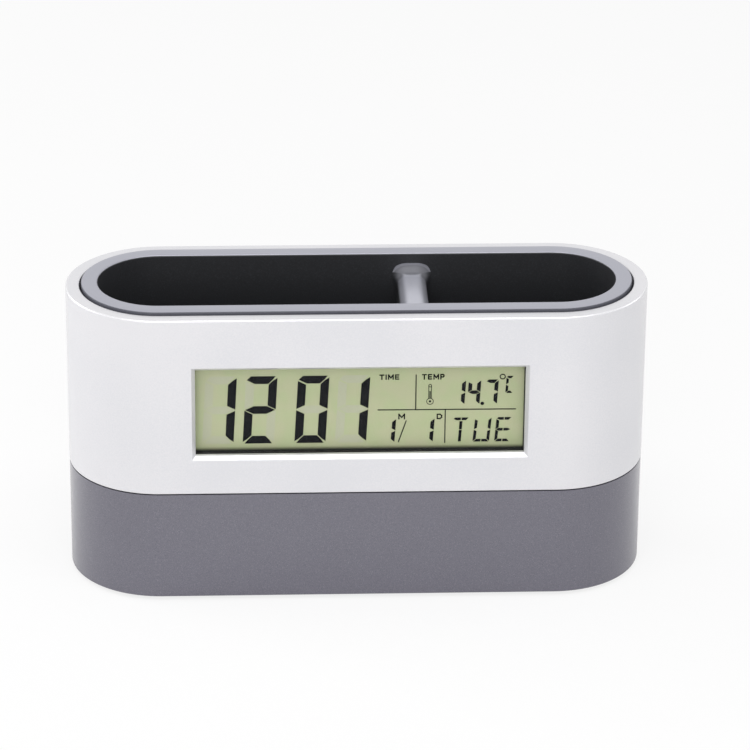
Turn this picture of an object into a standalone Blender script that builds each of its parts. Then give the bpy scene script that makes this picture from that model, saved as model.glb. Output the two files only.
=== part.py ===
"""A desk pen holder with a digital clock in its front, as the separate pieces it is assembled from.

The casing is a stadium in plan: straight sides with full round ends. A silver sleeve stands on a grey
base and a tray with two compartments drops through both. The clock module hangs on the inside of the
sleeve, and the base carries the batteries, the keys and the buzzer. Lengths are in metres, +Z is up,
the display faces -Y, and the origin is on the ground under the middle of the casing.
"""

import math

import bmesh
import bpy
from mathutils import Matrix, Vector

MM = 0.001

# General fits and mesh fineness
FIT = 0.3 * MM  # gap kept between neighbouring pieces
EMBED = 0.5 * MM  # how far fused shapes run into each other
CUT_PAST = 1.0 * MM  # how far a cutter runs past the face it opens
END_STEPS = 20  # facets round one half-circle end of the casing
EDGE_STEPS = 3  # facets across a rounded edge
ROUND_STEPS = 14  # facets round a post or a small round piece
BORE_STEPS = 10  # facets round a narrow hole
WIDE_STEPS = 20  # facets round a cell, a foot or the buzzer
SMOOTH_ANGLE = 32.0  # degrees between faces that still shade as one surface

# Casing
LENGTH = 150.0 * MM
DEPTH = 48.0 * MM
FOOT_PROUD = 1.0 * MM  # height of the rubber feet under the base
BASE_HEIGHT = 29.5 * MM  # grey band, up to the seam
SLEEVE_HEIGHT = 49.1 * MM  # silver band, above the seam

# Base shell
BASE_INSET = 0.05 * MM  # how far the grey band stands back from the silver one
BASE_WALL = 2.8 * MM
BASE_FLOOR = 2.0 * MM
BASE_EDGE = 0.4 * MM
TONGUE_HEIGHT = 2.5 * MM  # lip that locates the sleeve

# Sleeve
SLEEVE_WALL = 2.0 * MM
SLEEVE_EDGE = 0.7 * MM
SEAM_EDGE = 0.2 * MM
RIM_SIDE = 3.4 * MM  # silver rim seen from above, along the sides
RIM_END = 3.55 * MM  # silver rim seen from above, at the round ends
RIM_THICK = 2.65 * MM
MOUTH_EDGE = 0.3 * MM

# Window in the front of the sleeve
WINDOW_WIDTH = 84.2 * MM
WINDOW_HEIGHT = 23.7 * MM
WINDOW_X = 0.15 * MM
WINDOW_RISE = 11.1 * MM  # lower edge of the window above the seam
BEZEL_WIDTH = 0.95 * MM
BEZEL_DEPTH = 1.2 * MM

# Tray liner
GROOVE = 0.5 * MM  # dark gap between the two rims
LINER_PROUD = 0.8 * MM
LINER_RIM = 4.45 * MM
LINER_EDGE = 0.3 * MM
LIP_EDGE = 1.2 * MM
LIP_CROSSING = 76.0  # degrees round the lip where it crosses the top face
LIP_END = 84.0  # degrees round the lip where its cutter ends
LINER_WALL = 1.6 * MM
LINER_DRAFT = 1.3 * MM
LINER_FLOOR = 1.8 * MM
LINER_FLOOR_ROUND = 3.0 * MM
LINER_SHOULDER = 1.2 * MM  # flange trapped under the silver rim
STEP_ROUND = 1.5 * MM
RAMP_ANGLE = 45.0
STEP_GAP = 0.6 * MM  # air between the clock module and the step in the tray
RAMP_GAP = 1.2 * MM
WIRING_GAP = 4.0 * MM  # room for the wires between battery housing and tray
DIVIDER_X = 14.9 * MM
DIVIDER_WIDTH = 7.6 * MM
DIVIDER_DROP = 5.5 * MM  # crest of the divider below the rim
DIVIDER_CROWN = 3.0 * MM
DIVIDER_FLARE = 2.2 * MM
DIVIDER_DRAFT = 0.9 * MM
DIVIDER_WALL = 1.7 * MM

# Clock module behind the window
LENS_THICK = 0.8 * MM
LENS_MARGIN = 2.2 * MM
LENS_RIB = 1.0 * MM
FRAME_LIP = 0.6 * MM
FRAME_WALL = 1.2 * MM
FRAME_RAISE = 0.2 * MM  # opening of the frame above that of the window
LCD_SIDE = 3.2 * MM  # glass past the window at each side
LCD_RISE = 2.2 * MM  # glass past the window above and below
LCD_THICK = 2.2 * MM
STRIP_THICK = 1.4 * MM
STRIP_HEIGHT = 1.6 * MM
PCB_THICK = 1.0 * MM
PCB_APRON = 4.5 * MM  # board below the display frame
CHIP_RADIUS = 5.0 * MM
CHIP_X = -10.0 * MM
CRYSTAL_RADIUS = 1.0 * MM
CRYSTAL_LENGTH = 6.0 * MM
CRYSTAL_X = 22.0 * MM

# Screws and the posts they go into
SCREW_RADIUS = 1.1 * MM
SCREW_HEAD_RADIUS = 2.0 * MM
SCREW_HEAD_THICK = 1.6 * MM
SCREW_HOLE_GAP = 0.2 * MM
COUNTERBORE_GAP = 0.3 * MM
POST_RADIUS = 3.3 * MM
BOSS_RADIUS = 2.4 * MM
CASE_SCREW_INSET = 0.75 * MM
CASE_SCREW_ANGLE = 50.0
CASE_SCREW_BITE = 6.0 * MM
CASE_BOSS_HEIGHT = 9.0 * MM
POST_SHELF = 5.0 * MM  # solid stretch of a post above the screw head
TRAY_POST_GAP = 2.2 * MM  # between the door seat and the posts for the tray
TRAY_SCREW_INSET = 8.4 * MM  # screws in from the foot of the tray's side walls
TRAY_BOSS_HEIGHT = 5.2 * MM
TRAY_SCREW_BITE = 4.2 * MM
PCB_SCREW_RADIUS = 0.9 * MM
PCB_SCREW_HEAD_RADIUS = 1.8 * MM
PCB_SCREW_HEAD_THICK = 1.0 * MM
PCB_SCREW_BITE = 4.0 * MM
PCB_POST_RADIUS = 2.2 * MM
PCB_POST_GAP = 0.5 * MM
PCB_POST_INSET = 2.75 * MM  # posts in from the upper and lower edges of the frame

# Batteries, their housing and the door
CELL_RADIUS = 5.25 * MM
CELL_LENGTH = 44.5 * MM
CELL_NUB_RADIUS = 1.9 * MM
CELL_NUB = 1.0 * MM
CELL_GAP = 0.6 * MM
HOUSING_WALL = 1.2 * MM
HOUSING_GAP = 2.2 * MM  # between the battery box and the key board
SPRING_LENGTH = 3.3 * MM
SPRING_WIRE = 0.25 * MM
SPRING_FOOT_RADIUS = 3.6 * MM
SPRING_TIP_RADIUS = 2.2 * MM
SPRING_TURNS = 2.5
SPRING_STEPS = 10  # points along one turn of a spring
CONTACT_THICK = 0.4 * MM
CONTACT_WIDTH = 8.6 * MM
CONTACT_HEIGHT = 9.0 * MM
TAB_WIDTH = 2.4 * MM
TAB_PROUD = 1.8 * MM
DOOR_THICK = 1.6 * MM
DOOR_LEDGE = 2.4 * MM
SEAT_THICK = 1.5 * MM
SEAT_MARGIN = 3.2 * MM
HOOK_WIDTH = 5.0 * MM
HOOK_REACH = 1.6 * MM
HOOK_THICK = 0.7 * MM
HOOK_SPREAD = 14.0 * MM
HOOK_POCKET = 2.2 * MM
HOOK_POCKET_TOP = 2.6 * MM
HOOK_BACK = 1.0 * MM
TONGUE_WIDTH = 10.0 * MM
TONGUE_LENGTH = 9.0 * MM
TONGUE_SLOT = 0.8 * MM
NIB_REACH = 0.25 * MM
NIB_THICK = 0.6 * MM
NIB_POCKET = 0.9 * MM
GRIP_DEPTH = 0.4 * MM
GRIP_WIDTH = 0.7 * MM
GRIP_PITCH = 1.8 * MM
GRIP_COUNT = 3

# Keys on the back of the base
KEY_NAMES = ("set", "mode", "up", "down")
KEY_PITCH = 12.0 * MM
KEY_RISE = 10.5 * MM  # middle of the keys above the bottom of the base
KEY_LENGTH = 8.4 * MM
KEY_HEIGHT = 4.6 * MM
KEY_PROUD = 0.8 * MM
KEY_EDGE = 0.5 * MM
KEY_GAP = 0.25 * MM
KEY_FLANGE = 0.8 * MM
KEY_FLANGE_MARGIN = 0.7 * MM
KEY_STEM = 0.85 * MM
KEY_STEM_RADIUS = 1.5 * MM
KEY_ROUND_STEPS = 8
KEY_BEVEL_ANGLE = 60.0
POCKET_DEPTH = 1.0 * MM
POCKET_MARGIN = 2.4 * MM
SWITCH_SIDE = 6.0 * MM
SWITCH_HEIGHT = 3.5 * MM
PLUNGER_RADIUS = 1.6 * MM
PLUNGER_PROUD = 1.2 * MM
PLUNGER_LENGTH = 2.5 * MM
PLUNGER_WELL = 2.2 * MM
KEY_BOARD_THICK = 1.2 * MM
KEY_BOARD_LENGTH = 59.0 * MM
KEY_BOARD_HEIGHT = 13.6 * MM
RAIL_X = 25.0 * MM
RAIL_WIDTH = 3.0 * MM
RAIL_THICK = 1.5 * MM
RAIL_HEIGHT = 10.0 * MM

# Temperature sensor and its vents
SENSOR_X = -27.6 * MM
SENSOR_RADIUS = 1.3 * MM
SENSOR_LEG = 3.0 * MM
SENSOR_LEG_RADIUS = 0.3 * MM
SENSOR_LEG_SPREAD = 1.2 * MM
VENT_X = -32.5 * MM
VENT_LENGTH = 8.0 * MM
VENT_HEIGHT = 1.2 * MM
VENT_PITCH = 3.0 * MM
VENT_COUNT = 3

# Buzzer
BUZZER_OFFSET = 16.0 * MM  # middle of the buzzer past the tray screws
BUZZER_RADIUS = 10.0 * MM
BUZZER_PLATE = 0.4 * MM
BUZZER_CERAMIC_RADIUS = 7.0 * MM
BUZZER_CERAMIC = 0.3 * MM
BUZZER_LEDGE = 1.4 * MM
BUZZER_LEDGE_WIDTH = 1.5 * MM
BUZZER_CUP_WALL = 1.0 * MM
BUZZER_CUP_DEPTH = 1.4 * MM
SOUND_HOLE_RADIUS = 0.9 * MM
SOUND_HOLE_RING = 4.2 * MM
SOUND_HOLE_COUNT = 6

# Rubber feet
FOOT_RADIUS = 4.5 * MM
FOOT_SUNK = 0.5 * MM
FOOT_EDGE = 0.3 * MM
FOOT_END_INSET = 25.0 * MM  # middle of a foot in from the end of the casing
FOOT_SIDE_INSET = 10.0 * MM  # middle of a foot in from the side of the casing

# Wires
WIRE_RADIUS = 0.6 * MM
WIRE_BEND = 1.5 * MM
WIRE_X = -16.5 * MM  # middle of the pair that climbs to the main board
WIRE_SPREAD = 4.0 * MM
WIRE_WALL_GAP = 2.0 * MM  # middle of a wire from the inside of the front wall
WIRE_SOLDER_RISE = 2.0 * MM  # above the lower edge of the main board
LEAD_BEND = 2.0 * MM
ROUTE_STEPS = 3  # points along each stretch of a wire
RIBBON_WIDTH = 8.0 * MM
RIBBON_THICK = 0.3 * MM
RIBBON_X = 8.0 * MM
RIBBON_BEND = 4.0 * MM
RIBBON_OVERLAP = 2.4 * MM  # how far the ribbon runs up behind the main board


def inset(outline, amount):
    """The half length and half depth of an outline, drawn in all round."""
    return (outline[0] - amount, outline[1] - amount)


# Outlines, each as a half length and a half depth
CASING = (LENGTH / 2, DEPTH / 2)
SLEEVE_CAVITY = inset(CASING, SLEEVE_WALL)
MOUTH = (CASING[0] - RIM_END, CASING[1] - RIM_SIDE)
BASE_OUTLINE = inset(CASING, BASE_INSET)
BASE_CAVITY = inset(BASE_OUTLINE, BASE_WALL)
TONGUE = inset(SLEEVE_CAVITY, FIT)
LINER_RIM_OUTLINE = inset(MOUTH, GROOVE)
LINER_MOUTH = inset(LINER_RIM_OUTLINE, LINER_RIM)
LINER_BOTTOM = inset(LINER_MOUTH, LINER_DRAFT)
SHOULDER = inset(SLEEVE_CAVITY, FIT)
FOOT_PLACE = (CASING[0] - FOOT_END_INSET, CASING[1] - FOOT_SIDE_INSET)

# Heights above the ground
BASE_BOTTOM = FOOT_PROUD
BASE_DECK = BASE_BOTTOM + BASE_FLOOR
SEAM = BASE_BOTTOM + BASE_HEIGHT
SLEEVE_BOTTOM = SEAM + FIT
SLEEVE_TOP = SEAM + SLEEVE_HEIGHT
RIM_UNDERSIDE = SLEEVE_TOP - RIM_THICK
LINER_TOP = SLEEVE_TOP + LINER_PROUD
SHOULDER_TOP = RIM_UNDERSIDE - FIT
SHOULDER_BOTTOM = SHOULDER_TOP - LINER_SHOULDER
DOOR_TOP = BASE_BOTTOM + DOOR_THICK
SEAT = DOOR_TOP + FIT
SEAT_TOP = SEAT + SEAT_THICK
CELL_AXIS = SEAT + FIT + CELL_RADIUS
HOUSING_CEILING = CELL_AXIS + CELL_RADIUS + FIT
HOUSING_TOP = HOUSING_CEILING + HOUSING_WALL
TRAY_UNDERSIDE = HOUSING_TOP + WIRING_GAP
TRAY_FLOOR = TRAY_UNDERSIDE + LINER_FLOOR
TRAY_BOSS_BOTTOM = TRAY_UNDERSIDE - TRAY_BOSS_HEIGHT
TRAY_POST_TOP = TRAY_BOSS_BOTTOM - FIT
CREST = LINER_TOP - DIVIDER_DROP
WINDOW_BOTTOM = SEAM + WINDOW_RISE
WINDOW_Z = WINDOW_BOTTOM + WINDOW_HEIGHT / 2
MODULE_Z = WINDOW_Z + FRAME_RAISE
KEY_Z = BASE_BOTTOM + KEY_RISE

# The clock module, from the front wall backwards
FRONT = -CASING[1]
FRONT_INSIDE = FRONT + SLEEVE_WALL
LENS_FRONT = FRONT_INSIDE + FIT
FRAME_FRONT = LENS_FRONT + LENS_THICK + FIT
LCD_FRONT = FRAME_FRONT + FRAME_LIP + FIT
LCD_BACK = LCD_FRONT + LCD_THICK
STRIP_FRONT = LCD_BACK + FIT
FRAME_BACK = STRIP_FRONT + STRIP_THICK
PCB_FRONT = FRAME_BACK + FIT
PCB_BACK = PCB_FRONT + PCB_THICK
MODULE_BACK = PCB_BACK + FIT + PCB_SCREW_HEAD_THICK
STEP_Y = MODULE_BACK + STEP_GAP
LCD_WIDTH = WINDOW_WIDTH + 2 * LCD_SIDE
LCD_HEIGHT = WINDOW_HEIGHT + 2 * LCD_RISE
POCKET_WIDTH = LCD_WIDTH + 2 * FIT
POCKET_HEIGHT = LCD_HEIGHT + 2 * FIT
FRAME_WIDTH = POCKET_WIDTH + 2 * FRAME_WALL
FRAME_HEIGHT = POCKET_HEIGHT + 2 * FRAME_WALL
PCB_POST_X = FRAME_WIDTH / 2 + PCB_POST_GAP + PCB_POST_RADIUS
PCB_POST_SPAN = FRAME_HEIGHT - 2 * PCB_POST_INSET
PCB_WIDTH = 2 * (PCB_POST_X + PCB_POST_RADIUS)
PCB_TOP = MODULE_Z + FRAME_HEIGHT / 2
PCB_BOTTOM = MODULE_Z - FRAME_HEIGHT / 2 - PCB_APRON
RAMP_START = PCB_TOP + RAMP_GAP - (STEP_Y - PCB_BACK)

# The battery housing, from its middle outwards
CONTACT_FACE = (CELL_LENGTH + SPRING_LENGTH + 2 * FIT) / 2
CONTACT_BACK = CONTACT_FACE + CONTACT_THICK
BAY_X = CONTACT_BACK + FIT
CELL_Y = CELL_RADIUS + CELL_GAP / 2
BAY_Y = CELL_Y + CELL_RADIUS + FIT
RECESS_X = BAY_X + DOOR_LEDGE
RECESS_Y = BAY_Y + DOOR_LEDGE
DOOR_X = RECESS_X - FIT
DOOR_Y = RECESS_Y - FIT
SEAT_X = RECESS_X + SEAT_MARGIN
SEAT_Y = RECESS_Y + HOUSING_WALL

# The keys, from the back wall inwards
BACK_INSIDE = BASE_CAVITY[1]
POCKET_FACE = BASE_OUTLINE[1] - POCKET_DEPTH
KEY_FACE = POCKET_FACE + KEY_PROUD
FLANGE_BACK = BACK_INSIDE - FIT
FLANGE_FRONT = FLANGE_BACK - KEY_FLANGE
STEM_END = FLANGE_FRONT - KEY_STEM
PLUNGER_TOP = STEM_END - FIT
SWITCH_TOP = PLUNGER_TOP - PLUNGER_PROUD
SWITCH_FOOT = SWITCH_TOP - SWITCH_HEIGHT
KEY_BOARD_BACK = SWITCH_FOOT - FIT
KEY_BOARD_FRONT = KEY_BOARD_BACK - KEY_BOARD_THICK
KEY_BOARD_BOTTOM = SEAT_TOP + FIT
KEY_BOARD_TOP = KEY_BOARD_BOTTOM + KEY_BOARD_HEIGHT
HOUSING_Y = KEY_BOARD_FRONT - HOUSING_GAP - HOUSING_WALL - BAY_Y

# The screws and the buzzer beside the battery housing
TRAY_SCREW_X = SEAT_X + TRAY_POST_GAP + POST_RADIUS
TRAY_SCREW_Y = LINER_BOTTOM[1] - TRAY_SCREW_INSET
BUZZER_X = TRAY_SCREW_X + BUZZER_OFFSET

AXIS_X = Vector((1, 0, 0))
AXIS_Y = Vector((0, 1, 0))
AXIS_Z = Vector((0, 0, 1))


def start_scene():
    """Clears the scene and returns the collections for the pieces and for the cutters."""
    for old in list(bpy.data.objects):
        bpy.data.objects.remove(old, do_unlink=True)
    pieces = bpy.data.collections.new("pen_holder_clock")
    tools = bpy.data.collections.new("shaping_tools")
    bpy.context.scene.collection.children.link(pieces)
    bpy.context.scene.collection.children.link(tools)
    return pieces, tools


PIECES, TOOLS = start_scene()


def linear(level):
    """One 8-bit display level as a linear value."""
    share = level / 255
    return share / 12.92 if share <= 0.04045 else ((share + 0.055) / 1.055) ** 2.4


def make_material(name, red, green, blue, roughness, metallic=0.0, transmission=0.0):
    """A plain Principled material from 8-bit display colours."""
    material = bpy.data.materials.new(name)
    material.use_nodes = True
    shader = material.node_tree.nodes["Principled BSDF"]
    shader.inputs["Base Color"].default_value = (linear(red), linear(green), linear(blue), 1)
    shader.inputs["Roughness"].default_value = roughness
    shader.inputs["Metallic"].default_value = metallic
    shader.inputs["Transmission Weight"].default_value = transmission
    return material


SILVER = make_material("satin_silver", 226, 227, 229, 0.38, 0.35)
GREY = make_material("speckled_grey", 128, 126, 131, 0.42, 0.45)
LINER_GREY = make_material("liner_grey", 96, 98, 102, 0.5, 0.3)
CLEAR = make_material("clear_plastic", 245, 246, 246, 0.04, 0.0, 1.0)
LCD_GREEN = make_material("lcd_green", 181, 189, 146, 0.3)
BLACK = make_material("black_plastic", 26, 27, 29, 0.5)
CONDUCTIVE = make_material("conductive_rubber", 52, 52, 56, 0.8)
BOARD_GREEN = make_material("circuit_board", 38, 92, 58, 0.45)
STEEL = make_material("zinc_steel", 186, 188, 190, 0.3, 1.0)
NICKEL = make_material("nickel_plate", 205, 202, 190, 0.22, 1.0)
BRASS = make_material("buzzer_brass", 201, 169, 96, 0.3, 1.0)
CELL_BLUE = make_material("cell_jacket", 52, 84, 128, 0.35)
RUBBER = make_material("foot_rubber", 34, 34, 35, 0.85)
KEY_GREY = make_material("key_plastic", 172, 174, 178, 0.45)
RED = make_material("red_insulation", 176, 36, 34, 0.5)
DARK = make_material("black_insulation", 24, 24, 25, 0.5)
RIBBON = make_material("ribbon_insulation", 196, 197, 199, 0.55)
EPOXY = make_material("chip_epoxy", 18, 18, 20, 0.3)


def add_object(name, mesh, material=None, location=(0, 0, 0), rotation=None):
    """Puts a mesh in the scene: a piece has a material, and a shaping tool has none."""
    obj = bpy.data.objects.new(name, mesh)
    obj.location = location
    if rotation is not None:
        obj.rotation_euler = rotation
    if material is None:
        TOOLS.objects.link(obj)
        obj.hide_render = True
        obj.display_type = "WIRE"
    else:
        PIECES.objects.link(obj)
        mesh.materials.append(material)
    return obj


def finish(bm, name):
    """Turns a bmesh into a mesh with its faces pointing out and its round faces smooth."""
    bmesh.ops.recalc_face_normals(bm, faces=bm.faces)
    mesh = bpy.data.meshes.new(name)
    bm.to_mesh(mesh)
    bm.free()
    mesh.shade_smooth()
    mesh.set_sharp_from_angle(angle=math.radians(SMOOTH_ANGLE))
    return mesh


def loft(name, rings, material=None, closed=False):
    """A skin through rings of points. Its ends are capped, or joined to each other when closed."""
    bm = bmesh.new()
    loops = [[bm.verts.new(point) for point in ring] for ring in rings]
    pairs = list(zip(loops, loops[1:]))
    if closed:
        pairs.append((loops[-1], loops[0]))
    else:
        bm.faces.new(reversed(loops[0]))
        bm.faces.new(loops[-1])
    for first, second in pairs:
        for here in range(len(first)):
            after = (here + 1) % len(first)
            bm.faces.new((first[here], first[after], second[after], second[here]))
    return add_object(name, finish(bm, name), material)


def stadium(half_length, half_depth, height):
    """Points round a stadium outline, anticlockwise from above."""
    reach = half_length - half_depth
    points = []
    for side in (1, -1):
        for step in range(END_STEPS + 1):
            angle = math.pi * (step / END_STEPS - 0.5)
            x = side * (reach + half_depth * math.cos(angle))
            y = side * half_depth * math.sin(angle)
            points.append((x, y, height))
    return points


def edge_arc(outline, centre, radius, start, end, grow=-1):
    """Stations across a rounded edge, from angle start to end in degrees about height centre."""
    stations = []
    for step in range(EDGE_STEPS + 1):
        angle = math.radians(start + (end - start) * step / EDGE_STEPS)
        shift = grow * radius * (1 - math.cos(angle))
        stations.append((outline[0] + shift, outline[1] + shift, centre + radius * math.sin(angle)))
    return stations


def rectangle(width, height, y, x=0.0, z=0.0):
    """The four corners of an upright rectangle that faces along Y."""
    corners = ((-1, -1), (1, -1), (1, 1), (-1, 1))
    return [(x + side * width / 2, y, z + rise * height / 2) for side, rise in corners]


def box(name, low, high, material=None, edge=0.0):
    """A block between two corners, with its origin in its middle and its edges rounded."""
    bm = bmesh.new()
    bmesh.ops.create_cube(bm, size=1.0)
    size = [high[axis] - low[axis] for axis in range(3)]
    bmesh.ops.scale(bm, vec=size, verts=bm.verts)
    middle = [(high[axis] + low[axis]) / 2 for axis in range(3)]
    obj = add_object(name, finish(bm, name), material, middle)
    if edge:
        bevel = obj.modifiers.new("rounded_edges", "BEVEL")
        bevel.width = edge
        bevel.segments = 2
        bevel.limit_method = "ANGLE"
    return obj


def rod(name, radius, start, end, material=None, steps=ROUND_STEPS):
    """A round bar from one point to another, with its origin in its middle."""
    start = Vector(start)
    end = Vector(end)
    bm = bmesh.new()
    bmesh.ops.create_cone(
        bm, cap_ends=True, segments=steps, radius1=radius, radius2=radius, depth=(end - start).length
    )
    turn = AXIS_Z.rotation_difference(end - start)
    return add_object(name, finish(bm, name), material, (start + end) / 2, turn.to_euler())


def turned(name, profile, material, location, axis=AXIS_Z, steps=ROUND_STEPS):
    """A piece turned from a profile of radius and height, listed from the top down its outer side."""
    mesh = bpy.data.meshes.new(name)
    points = [(radius, 0, height) for radius, height in profile]
    edges = [(index, index + 1) for index in range(len(points) - 1)]
    mesh.from_pydata(points, edges, [])
    turn = AXIS_Z.rotation_difference(Vector(axis))
    obj = add_object(name, mesh, material, location, turn.to_euler())
    screw = obj.modifiers.new("turning", "SCREW")
    screw.steps = steps
    screw.render_steps = steps
    screw.use_merge_vertices = True
    screw.merge_threshold = 0.00001
    screw.use_smooth_shade = True
    return obj


def dome(radius, height, end):
    """The profile of a dome, from its pole round to an angle in radians."""
    steps = 2 * EDGE_STEPS
    angles = [end * step / steps for step in range(steps + 1)]
    return [(radius * math.sin(angle), height * math.cos(angle)) for angle in angles]


def capsule(name, length, height, low_y, high_y, x, z, material=None, edge=0.0):
    """A round-ended block whose outline faces along Y, with its origin in the middle of its back face."""
    half = height / 2
    reach = length / 2 - half
    outline = []
    for side in (1, -1):
        for step in range(KEY_ROUND_STEPS + 1):
            angle = math.pi * (step / KEY_ROUND_STEPS - 0.5)
            outline.append((side * (reach + half * math.cos(angle)), side * half * math.sin(angle)))
    bm = bmesh.new()
    back = bm.faces.new([bm.verts.new((px, 0, pz)) for px, pz in outline])
    grown = bmesh.ops.extrude_face_region(bm, geom=[back])
    moved = [item for item in grown["geom"] if isinstance(item, bmesh.types.BMVert)]
    bmesh.ops.translate(bm, verts=moved, vec=(0, low_y - high_y, 0))
    obj = add_object(name, finish(bm, name), material, (x, high_y, z))
    if edge:
        bevel = obj.modifiers.new("rounded_edges", "BEVEL")
        bevel.width = edge
        bevel.segments = 2
        bevel.limit_method = "ANGLE"
        bevel.angle_limit = math.radians(KEY_BEVEL_ANGLE)
    return obj


def shape_with(target, tool, operation):
    """Adds a Boolean modifier to the target and puts its tool away."""
    modifier = target.modifiers.new(tool.name, "BOOLEAN")
    modifier.object = tool
    modifier.operation = operation
    modifier.solver = "EXACT"


def fuse(target, tool):
    shape_with(target, tool, "UNION")


def cut(target, tool):
    shape_with(target, tool, "DIFFERENCE")


def corner_signs():
    """The four quarters of the plan, numbered from 1."""
    quarters = [(side, face) for side in (-1, 1) for face in (-1, 1)]
    return list(enumerate(quarters, start=1))


def case_screw_place(side, face):
    """The plan position of a case screw, on an arc just inside the round end."""
    reach = BASE_CAVITY[0] - BASE_CAVITY[1]
    radius = BASE_CAVITY[1] - CASE_SCREW_INSET
    angle = math.radians(CASE_SCREW_ANGLE)
    return (side * (reach + radius * math.cos(angle)), face * radius * math.sin(angle))


def tray_screw_place(side, face):
    return (side * TRAY_SCREW_X, face * TRAY_SCREW_Y)


def board_screw_place(side, face):
    return (side * PCB_POST_X, MODULE_Z + face * PCB_POST_SPAN / 2)


def smooth_route(points, per_stretch):
    """Points along a Catmull-Rom curve through the given ones."""
    route = [Vector(point) for point in points]
    ends = [2 * route[0] - route[1]] + route + [2 * route[-1] - route[-2]]
    result = []
    for a, b, c, d in zip(ends, ends[1:], ends[2:], ends[3:]):
        for step in range(per_stretch):
            t = step / per_stretch
            flat = 2 * b + (c - a) * t
            bend = (2 * a - 5 * b + 4 * c - d) * t * t + (3 * b - a - 3 * c + d) * t * t * t
            result.append((flat + bend) / 2)
    result.append(route[-1])
    return result


def wire(name, points, radius, material, resolution=2):
    """A round wire along a list of points, as a curve with closed ends."""
    curve = bpy.data.curves.new(name, "CURVE")
    curve.dimensions = "3D"
    curve.bevel_depth = radius
    curve.bevel_resolution = resolution
    curve.use_fill_caps = True
    spline = curve.splines.new("POLY")
    spline.points.add(len(points) - 1)
    for place, point in zip(spline.points, points):
        place.co = (*point, 1)
    obj = bpy.data.objects.new(name, curve)
    PIECES.objects.link(obj)
    if material is not None:
        curve.materials.append(material)
    return obj


def wire_tool(name, points, radius):
    """The same wire as a welded mesh, for fusing to a plate."""
    obj = wire(name, points, radius, None, 1)
    graph = bpy.context.evaluated_depsgraph_get()
    mesh = bpy.data.meshes.new_from_object(obj.evaluated_get(graph))
    bpy.data.objects.remove(obj, do_unlink=True)
    bm = bmesh.new()
    bm.from_mesh(mesh)
    bmesh.ops.remove_doubles(bm, verts=bm.verts, dist=0.000001)
    return add_object(name, finish(bm, name), None)


def rounded(points, radius):
    """An outline with each inner corner of the list rounded; the first and last points stay."""
    result = [Vector(points[0])]
    for before, corner, after in zip(points, points[1:], points[2:]):
        corner = Vector(corner)
        back = (Vector(before) - corner).normalized()
        ahead = (Vector(after) - corner).normalized()
        half = back.angle(ahead) / 2
        reach = radius / math.tan(half)
        centre = corner + (back + ahead).normalized() * radius / math.sin(half)
        start = (corner + back * reach - centre).normalized()
        end = (corner + ahead * reach - centre).normalized()
        for step in range(EDGE_STEPS + 1):
            result.append(centre + start.slerp(end, step / EDGE_STEPS) * radius)
    result.append(Vector(points[-1]))
    return result


# Sleeve


def make_sleeve():
    """The silver sleeve: a wall swept round the stadium, with an inturned rim at its top."""
    stations = [(*inset(CASING, SEAM_EDGE), SLEEVE_BOTTOM), (*CASING, SLEEVE_BOTTOM + SEAM_EDGE)]
    stations += edge_arc(CASING, SLEEVE_TOP - SLEEVE_EDGE, SLEEVE_EDGE, 0, 90)
    stations += edge_arc(MOUTH, SLEEVE_TOP - MOUTH_EDGE, MOUTH_EDGE, 90, 0, grow=1)
    stations += [(*MOUTH, RIM_UNDERSIDE), (*SLEEVE_CAVITY, RIM_UNDERSIDE), (*SLEEVE_CAVITY, SLEEVE_BOTTOM)]
    sleeve = loft("silver_sleeve", [stadium(*station) for station in stations], SILVER, closed=True)
    add_lens_rib(sleeve)
    add_board_posts(sleeve)
    add_case_bosses(sleeve)
    cut(sleeve, window_cutter())
    return sleeve


def window_cutter():
    """The window with its four bevelled sides, wide at the front face."""
    slope = BEZEL_WIDTH / BEZEL_DEPTH
    grown = 2 * (BEZEL_WIDTH + slope * CUT_PAST)
    deep = FRONT_INSIDE + CUT_PAST
    rings = [
        rectangle(WINDOW_WIDTH + grown, WINDOW_HEIGHT + grown, FRONT - CUT_PAST, WINDOW_X, WINDOW_Z),
        rectangle(WINDOW_WIDTH, WINDOW_HEIGHT, FRONT + BEZEL_DEPTH, WINDOW_X, WINDOW_Z),
        rectangle(WINDOW_WIDTH, WINDOW_HEIGHT, deep, WINDOW_X, WINDOW_Z),
    ]
    return loft("window_cut", rings)


def add_lens_rib(sleeve):
    """A low rib that holds the clear window pane in place."""
    inner_width = WINDOW_WIDTH + 2 * (LENS_MARGIN + FIT)
    inner_height = WINDOW_HEIGHT + 2 * (LENS_MARGIN + FIT)
    outer_width = inner_width + 2 * LENS_RIB
    outer_height = inner_height + 2 * LENS_RIB
    root = FRONT_INSIDE - EMBED
    tip = LENS_FRONT + LENS_THICK
    rings = [
        rectangle(outer_width, outer_height, root, WINDOW_X, WINDOW_Z),
        rectangle(outer_width, outer_height, tip, WINDOW_X, WINDOW_Z),
        rectangle(inner_width, inner_height, tip, WINDOW_X, WINDOW_Z),
        rectangle(inner_width, inner_height, root, WINDOW_X, WINDOW_Z),
    ]
    fuse(sleeve, loft("lens_rib", rings, closed=True))


def add_board_posts(sleeve):
    """Four posts behind the front wall that carry the main board."""
    tip = PCB_FRONT - FIT
    for number, (side, face) in corner_signs():
        x, z = board_screw_place(side, face)
        root = FRONT_INSIDE - EMBED
        fuse(sleeve, rod(f"board_post_{number}", PCB_POST_RADIUS, (x, root, z), (x, tip, z)))
        bore = PCB_SCREW_RADIUS + SCREW_HOLE_GAP
        bottom = tip - PCB_SCREW_BITE - FIT
        past = tip + CUT_PAST
        cut(sleeve, rod(f"board_post_bore_{number}", bore, (x, bottom, z), (x, past, z), None, BORE_STEPS))


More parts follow.
